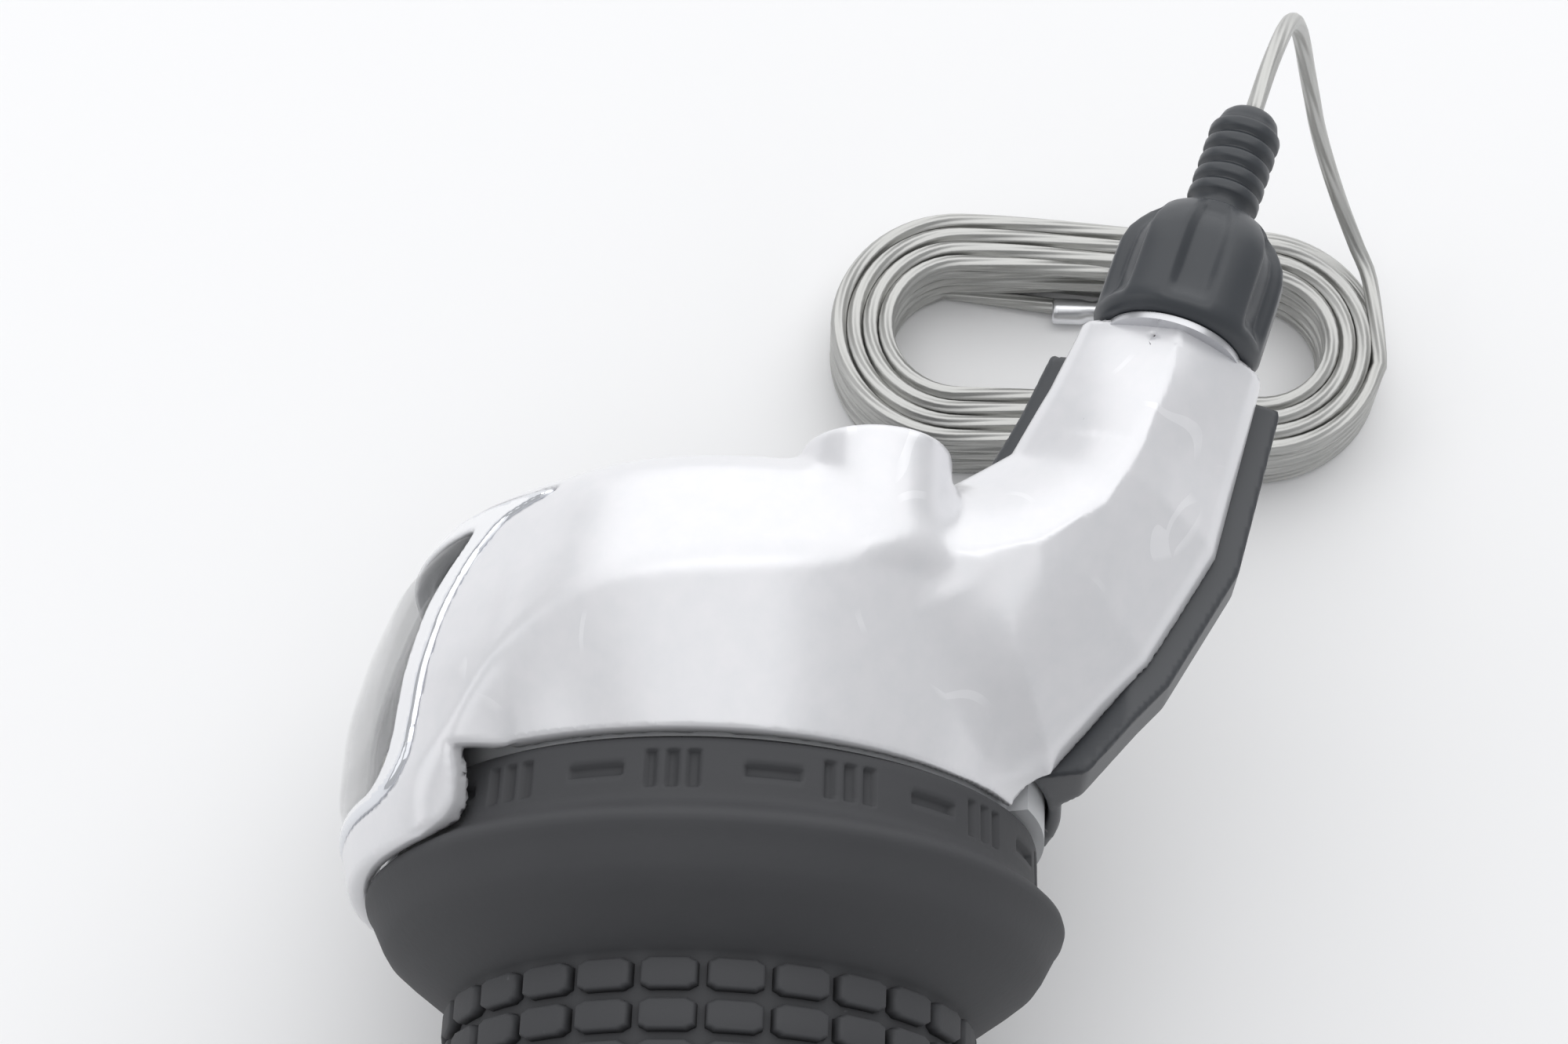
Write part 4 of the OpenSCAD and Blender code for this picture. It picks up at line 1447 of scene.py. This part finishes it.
        link(real.outputs[0], paint.inputs["Geometry"])
        link(inputs.outputs["Material"], paint.inputs["Material"])
        link(paint.outputs[0], output.inputs[0])
        return group

    def tiles(self, finishes: Finishes) -> None:
        """Lays the tiles in straight rows and columns.

        Args:
            finishes: The finishes.
        """
        shape = self.tile_shape()
        group = self.tile_group()
        holder = bpy.data.objects.new("tile_holder", bpy.data.meshes.new("tile_holder"))
        bpy.context.scene.collection.objects.link(holder)
        modifier = holder.modifiers.new("tiles", "NODES")
        modifier.node_group = group
        values = {
            "Tile": shape, "Rows": self.rows, "Tiles Round": self.tiles_round,
            "First Row": (self.first_row + (self.row_pitch - 0.7) / 2) * MM, "Row Pitch": self.row_pitch * MM,
            "Radius": (self.floor_r - self.tile_sink) * MM, "Seed": 4, "Jitter": 0.02 * MM,
            "Material": finishes.of_slot[Slot.RUBBER]}
        for item in group.interface.items_tree:
            if item.in_out == "INPUT":
                modifier[item.identifier] = values[item.name]
        bpy.context.view_layer.update()
        baked = bpy.data.meshes.new_from_object(holder.evaluated_get(bpy.context.evaluated_depsgraph_get()))
        bpy.data.objects.remove(holder)
        bpy.data.objects.remove(shape)
        baked.name = "grip_tiles"
        piece = bpy.data.objects.new("grip_tiles", baked)
        bpy.context.scene.collection.objects.link(piece)
        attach(piece, Body.GRIP.value)
        LOG.info("grip_tiles: %d faces", len(baked.polygons))


@dataclass
class Adjuster:
    """Fluted knob and ribbed casing plug of the barrel adjuster."""

    exit: ExitLine
    knob_r: float = 5.6
    knob_len: float = 9.7
    flutes: int = 6
    flute_depth: float = 0.75
    thread_r: float = 2.2
    socket_r: float = 2.6
    socket_len: float = 4.0
    plug_r: float = 2.4
    plug_len: float = 8.6
    plug_bore: float = 0.75
    rings: int = 5
    columns: int = 192

    def build(self, finishes: Finishes) -> None:
        """Builds the knob and the plug.

        Args:
            finishes: The finishes.
        """
        self.knob(finishes)
        self.plug(finishes)

    def lathe(self, name: str, profile: list, body: Body, finishes: Finishes,
              depth: Callable[[float, Array], Array] | None = None) -> bpy.types.Object:
        """Turns a closed profile round the exit line.

        Args:
            name: The piece's name.
            profile: Pairs of distance along the line and radius.
            body: The body that it rides on.
            finishes: The finishes.
            depth: How much less the radius is, by distance along and angle.

        Returns:
            The piece.
        """
        turn = np.arange(self.columns) / self.columns * math.tau
        rings = []
        for u, r in profile:
            cut = depth(u, turn) if depth is not None and r > self.knob_r - 1.6 else 0.0
            rings.append(self.exit.place(np.full(self.columns, u), r - cut + 0 * turn, turn))
        points, faces = ring_mesh(np.array(rings), closed_along=True)
        piece = turned_out(add_piece(name, points, faces, body, Slot.ADJUSTER))
        finishes.dress(piece, Slot.ADJUSTER)
        return piece

    def knob(self, finishes: Finishes) -> None:
        """Builds the knob with its broad flutes.

        Args:
            finishes: The finishes.
        """
        r, n = self.knob_r, self.knob_len

        def flute(u: float, turn: Array) -> Array:
            """Depth of the flutes, fading in at the housing end.

            Args:
                u: Distance along the exit line.
                turn: Angles, in radians.

            Returns:
                The depth.
            """
            share = 0.5 + 0.5 * np.cos(self.flutes * turn)
            fade = smooth_step(np.array((u - 0.8) / 1.2))
            return self.flute_depth * smooth_step((share - 0.35) / 0.5) * fade

        profile = [(0.0, self.thread_r), (0.0, r - 0.9), (0.15, r - 0.5), (0.45, r - 0.15), (0.8, r),
                   (1.4, r), (2.2, r), (3.4, r), (4.8, r), (6.2, r - 0.05), (7.2, r - 0.3), (8.0, r - 0.75),
                   (8.7, r - 1.25), (9.3, r - 1.9), (n - 0.1, r - 2.3), (n, r - 2.55),
                   (n, self.socket_r), (n - self.socket_len, self.socket_r),
                   (n - self.socket_len, self.thread_r)]
        piece = self.lathe("fluted_knob", profile, Body.ADJUSTER, finishes, flute)
        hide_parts("adjuster_knob")

    def plug(self, finishes: Finishes) -> None:
        """Builds the casing plug with its ribs.

        Args:
            finishes: The finishes.
        """
        start = self.knob_len + 0.15
        profile = [(self.knob_len - self.socket_len + 0.2, self.plug_bore),
                   (self.knob_len - self.socket_len + 0.2, self.socket_r - 0.2),
                   (start, self.socket_r - 0.2), (start, self.plug_r - 0.35)]
        pitch = (self.plug_len - 2.4) / self.rings
        for k in range(self.rings):
            u = start + 1.2 + k * pitch
            profile += [(u, self.plug_r - 0.35), (u + 0.12, self.plug_r - 0.06), (u + 0.3, self.plug_r),
                        (u + pitch - 0.55, self.plug_r), (u + pitch - 0.38, self.plug_r - 0.06),
                        (u + pitch - 0.2, self.plug_r - 0.35)]
        end = self.knob_len + self.plug_len
        profile += [(end - 0.9, self.plug_r - 0.35), (end - 0.4, self.plug_r - 0.5),
                    (end - 0.1, self.plug_r - 0.75), (end, self.plug_r - 1.0), (end, self.plug_bore)]
        piece = self.lathe("ribbed_plug", profile, Body.CASING_SEAT, finishes)
        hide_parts("casing_plug")


@dataclass
class FreeCable:
    """The bare inner cable: its way down from the plug, its coil on the table and its end cap."""

    exit: ExitLine
    reach: float = 18.3
    diameter: float = 1.2
    lay_length: float = 9.0
    centre: tuple[float, float] = (-53.0, 27.0)
    straight: float = 11.3
    half_widths: tuple[float, ...] = (9.2, 8.0, 6.8, 5.6)
    rows: int = 5
    top_z: float = -17.1
    spacing: float = 0.9
    sides: int = 12
    cap_foot: tuple[float, float, float] = (-57.0, 23.0, -21.5)
    cap_len: float = 8.0
    cap_r: float = 1.0
    way_down: list = field(default_factory=lambda: [
        (-58.8, 35.6, 14.7), (-61, 36.4, 13.6), (-62.8, 37.2, 11.6), (-64, 38, 8.8), (-64.7, 38.8, 5.4),
        (-65, 39.6, 1.8), (-65.1, 40.5, -2), (-64.9, 41.5, -6), (-64.2, 42.8, -10), (-62.8, 44.3, -13.6),
        (-60.6, 45.8, -16), (-58, 46.9, -16.9), (-55, 47.4, -17.1)])

    def tip(self) -> Array:
        """The point where the cable leaves the plug.

        Returns:
            The point.
        """
        return np.array(self.exit.foot) + self.reach * self.exit.along

    def turn(self, width: float, next_width: float, z: float, next_z: float) -> list:
        """One clockwise turn of the stadium, starting at the middle of its far end.

        Args:
            width: Half the width of this turn.
            next_width: Half the width of the next turn, met on the last straight.
            z: Height of this turn.
            next_z: Height of the next turn.

        Returns:
            The turn's points.
        """
        x0, y0 = self.centre
        points = []
        for a in np.linspace(0, math.pi / 2, 12, endpoint=False):
            points.append((x0 + width * math.sin(a), y0 + self.straight + width * math.cos(a), z))
        for t in np.linspace(1, -1, 14, endpoint=False):
            points.append((x0 + width, y0 + self.straight * t, z))
        for a in np.linspace(math.pi / 2, 1.5 * math.pi, 26, endpoint=False):
            points.append((x0 + width * math.sin(a), y0 - self.straight + width * math.cos(a), z))
        for t in np.linspace(0, 1, 18, endpoint=False):
            ease = t * t * (3 - 2 * t)
            w = width + (next_width - width) * ease
            points.append((x0 - w, y0 - self.straight + 2 * self.straight * t, z + (next_z - z) * ease))
        for a in np.linspace(-math.pi / 2, 0, 12, endpoint=False):
            across = next_width * math.sin(a)
            points.append((x0 + across, y0 + self.straight + next_width * math.cos(a), next_z))
        return points

    def coil(self) -> list:
        """All turns, row by row from the top, each row laid the other way across the last.

        Returns:
            The points of its centreline.
        """
        order = []
        for row in range(self.rows):
            columns = range(len(self.half_widths))
            order += [(row, c) for c in (columns if row % 2 == 0 else reversed(columns))]
        points = []
        for k, (row, column) in enumerate(order):
            width, z = self.half_widths[column], self.top_z - row * self.diameter
            after = order[min(k + 1, len(order) - 1)]
            turned = self.turn(width, self.half_widths[after[1]], z, self.top_z - after[0] * self.diameter)
            points += turned if k < len(order) - 1 else turned[:52]
        return points

    def path(self) -> Array:
        """The whole centreline in millimetres, evenly spaced.

        Returns:
            The points.
        """
        tip, along = self.tip(), self.exit.along
        knots = [tip, tip + 2 * along, tip + 4 * along, *map(np.array, self.way_down)]
        coil = np.array(self.coil())
        end = np.array(self.cap_foot) + [0, self.cap_len * 0.5, 0]
        knots = np.array([*knots[:-1], *coil[1:], end])
        keep = np.concatenate([[True], np.linalg.norm(np.diff(knots, axis=0), axis=1) > 0.05])
        return self.even(knots[keep])

    def even(self, knots: Array) -> Array:
        """A smooth line through knots with even spacing.

        Args:
            knots: The knots, in order.

        Returns:
            The points.
        """
        ends = np.concatenate([[2 * knots[0] - knots[1]], knots, [2 * knots[-1] - knots[-2]]])
        a, b, c, d = ends[:-3], ends[1:-2], ends[2:-1], ends[3:]
        t = np.linspace(0, 1, 8, endpoint=False)[None, :, None]
        a, b, c, d = (p[:, None, :] for p in (a, b, c, d))
        square, cube = 2 * a - 5 * b + 4 * c - d, 3 * b - a - 3 * c + d
        fine = 0.5 * (2 * b + (c - a) * t + square * t**2 + cube * t**3)
        line = np.concatenate([fine.reshape(-1, 3), knots[-1:]])
        run = np.concatenate([[0], np.cumsum(np.linalg.norm(np.diff(line, axis=0), axis=1))])
        at = np.linspace(0, run[-1], int(run[-1] / self.spacing) + 1)
        return np.stack([np.interp(at, run, line[:, k]) for k in range(3)], 1)

    def tube(self, path: Array) -> tuple[Array, list]:
        """A tube round a path, with its frame carried along it.

        Args:
            path: The centreline.

        Returns:
            The vertices and the faces.
        """
        tangent = np.gradient(path, axis=0)
        tangent /= np.linalg.norm(tangent, axis=1)[:, None]
        side = np.cross(tangent[0], [0, 0, 1.0])
        sides = []
        for t in tangent:
            side = side - t * (side @ t)
            side /= np.linalg.norm(side)
            sides.append(side)
        sides = np.array(sides)
        other = np.cross(tangent, sides)
        turn = np.arange(self.sides) / self.sides * math.tau
        level, upright = np.cos(turn)[None, :, None], np.sin(turn)[None, :, None]
        ring = level * sides[:, None, :] + upright * other[:, None, :]
        return ring_mesh(path[:, None, :] + ring * self.diameter / 2)

    def build(self, finishes: Finishes) -> None:
        """Args:
            finishes: The finishes.
        """
        path = self.path()
        points, faces = self.tube(path)
        piece = turned_out(add_piece("free_cable", points, faces, Body.HOUSING, Slot.CABLE))
        self.unwrap(piece)
        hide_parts("inner_cable_free", "inner_cable_coil")
        finishes.dress(piece, Slot.CABLE)
        cap = self.cap(finishes)

    def unwrap(self, piece: bpy.types.Object) -> None:
        """Gives the tube a UV map: X along in strand lays, and Y round.

        Args:
            piece: The piece.
        """
        layer = piece.data.uv_layers.new(name="UVMap")
        for face in piece.data.polygons:
            corners = [(piece.data.loops[i].vertex_index, i) for i in face.loop_indices]
            around = [v % self.sides for v, _ in corners]
            wraps = max(around) - min(around) > self.sides / 2
            for (v, i), k in zip(corners, around):
                share = (k + (self.sides if wraps and k == 0 else 0)) / self.sides
                layer.data[i].uv = ((v // self.sides) * self.spacing / self.lay_length, share)

    def cap(self, finishes: Finishes) -> bpy.types.Object:
        """Builds the crimped end cap.

        Args:
            finishes: The finishes.

        Returns:
            The cap.
        """
        turn = np.arange(48) / 48 * math.tau
        profile = [(0.0, 0.55), (0.0, 0.85), (0.15, 0.98), (0.4, 1.0), (2.0, 1.0), (2.3, 1.0), (2.7, 1.0),
                   (3.1, 1.0), (3.5, 1.0), (3.9, 1.0), (4.6, 1.0), (7.2, 1.0), (7.6, 0.92),
                   (7.9, 0.7), (self.cap_len, 0.3)]
        rings = []
        for y, r in profile:
            pinch = 0.28 * math.exp(-((y - 3.0) / 0.45) ** 2) * (0.5 + 0.5 * np.cos(2 * turn))
            radius = np.full(len(turn), r) - pinch
            rings.append(np.stack([radius * np.cos(turn), np.full(len(turn), y), radius * np.sin(turn)], 1))
        points, faces = ring_mesh(np.array(rings) + np.array(self.cap_foot))
        piece = turned_out(add_piece("crimped_cap", points, faces, Body.HOUSING, Slot.CAP))
        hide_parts("cable_end_cap")
        finishes.dress(piece, Slot.CAP)
        return piece


@dataclass
class WorkingParts:
    """The pieces inside and under the housing, shown as they were designed."""

    slots: dict = field(default_factory=lambda: {
        "dial_plate": Slot.DIAL, "retainer_ring": Slot.GREY,
        "cover_screws": Slot.SCREW, "clamp_bolt": Slot.BOLT, "clamp_nut": Slot.BOLT,
        "cable_guide": Slot.WHITE, "detent_spring": Slot.SPRING, "detent_spring_screw": Slot.SCREW,
        "adjuster_insert": Slot.BRASS, "adjuster_click_washer": Slot.SPRING, "inner_cable_run": Slot.CABLE,
        "grip_sleeve": Slot.GREY, "cable_drum": Slot.WHITE, "detent_ring": Slot.GREY,
        "cable_head": Slot.BRASS, "thrust_washer": Slot.WHITE, "grip_end_washer": Slot.WHITE,
        "indicator_pointer": Slot.CREAM, "pointer_pin": Slot.SPRING, "adjuster_barrel": Slot.SPRING})

    def build(self, finishes: Finishes) -> None:
        """Gives each node its finish.

        Args:
            finishes: The finishes.
        """
        for name, slot in self.slots.items():
            for place in bpy.data.objects[name].material_slots:
                place.material = finishes.of_slot[slot]


@dataclass
class Studio:
    """Camera, table and lights."""

    table_z: float = -22.55
    centre: tuple[float, float, float] = (61.956, 7.233, 205.423)
    right: tuple[float, float, float] = (-0.0390, 0.9992, -0.0017)
    up: tuple[float, float, float] = (-0.9138, -0.0349, 0.4046)
    back: tuple[float, float, float] = (0.4042, 0.0173, 0.9145)
    lens: float = 75.6
    sensor: float = 36.0
    surroundings: float = 0.55

    def build(self) -> None:
        """Sets up the camera, the table and the lights."""
        self.camera()
        self.table()
        self.lights()

    def camera(self) -> None:
        """Makes the scene's camera."""
        data = bpy.data.cameras.new("camera")
        data.lens, data.sensor_width = self.lens, self.sensor
        data.clip_start, data.clip_end = 0.01, 10
        camera = bpy.data.objects.new("camera", data)
        bpy.context.scene.collection.objects.link(camera)
        place = Matrix.Identity(4)
        for k, axis in enumerate((self.right, self.up, self.back)):
            for row in range(3):
                place[row][k] = axis[row]
        for row in range(3):
            place[row][3] = self.centre[row] * MM
        camera.matrix_world = place
        bpy.context.scene.camera = camera

    def table(self) -> None:
        """Makes the plain pale table."""
        mesh = bpy.data.meshes.new("table")
        half, z = 2.0, self.table_z * MM
        corners = [(-half, -half, z), (half, -half, z), (half, half, z), (-half, half, z)]
        mesh.from_pydata(corners, [], [(0, 1, 2, 3)])
        table = bpy.data.objects.new("table", mesh)
        bpy.context.scene.collection.objects.link(table)
        paper = bpy.data.materials.new("table_paper")
        paper.use_nodes = True
        shader = paper.node_tree.nodes["Principled BSDF"]
        shader.inputs["Base Color"].default_value = (0.90, 0.90, 0.905, 1)
        shader.inputs["Roughness"].default_value = 0.85
        mesh.materials.append(paper)

    def lights(self) -> None:
        """Makes the soft lights and the pale surroundings."""
        scene = bpy.context.scene
        world = bpy.data.worlds.new("surroundings")
        world.use_nodes = True
        ground = world.node_tree.nodes["Background"]
        ground.inputs["Color"].default_value = (0.97, 0.98, 1.0, 1)
        ground.inputs["Strength"].default_value = self.surroundings
        scene.world = world
        for name, place, size, power in (
                ("key_light", (-1.0, 0.1, 0.9), 2.6, 21.0), ("top_light", (0.1, 0.0, 0.9), 0.9, 1.6),
                ("side_light", (0.1, -0.7, 0.35), 0.5, 0.5)):
            data = bpy.data.lights.new(name, "AREA")
            data.shape, data.size, data.energy = "SQUARE", size, power
            lamp = bpy.data.objects.new(name, data)
            scene.collection.objects.link(lamp)
            lamp.location = place
            lamp.rotation_euler = lamp.location.to_track_quat("Z", "Y").to_euler()


def main() -> None:
    """Builds the whole model."""
    logging.basicConfig(level=logging.INFO, format="%(message)s")
    bpy.context.scene.view_settings.view_transform = "Standard"
    Studio().build()
    finishes = Finishes()
    exit_line = ExitLine()
    FreeCable(exit_line).build(finishes)
    Housing(exit_line).build(finishes)
    Grip().build(finishes)
    Adjuster(exit_line).build(finishes)
    WorkingParts().build(finishes)


if __name__ == "__main__":
    main()
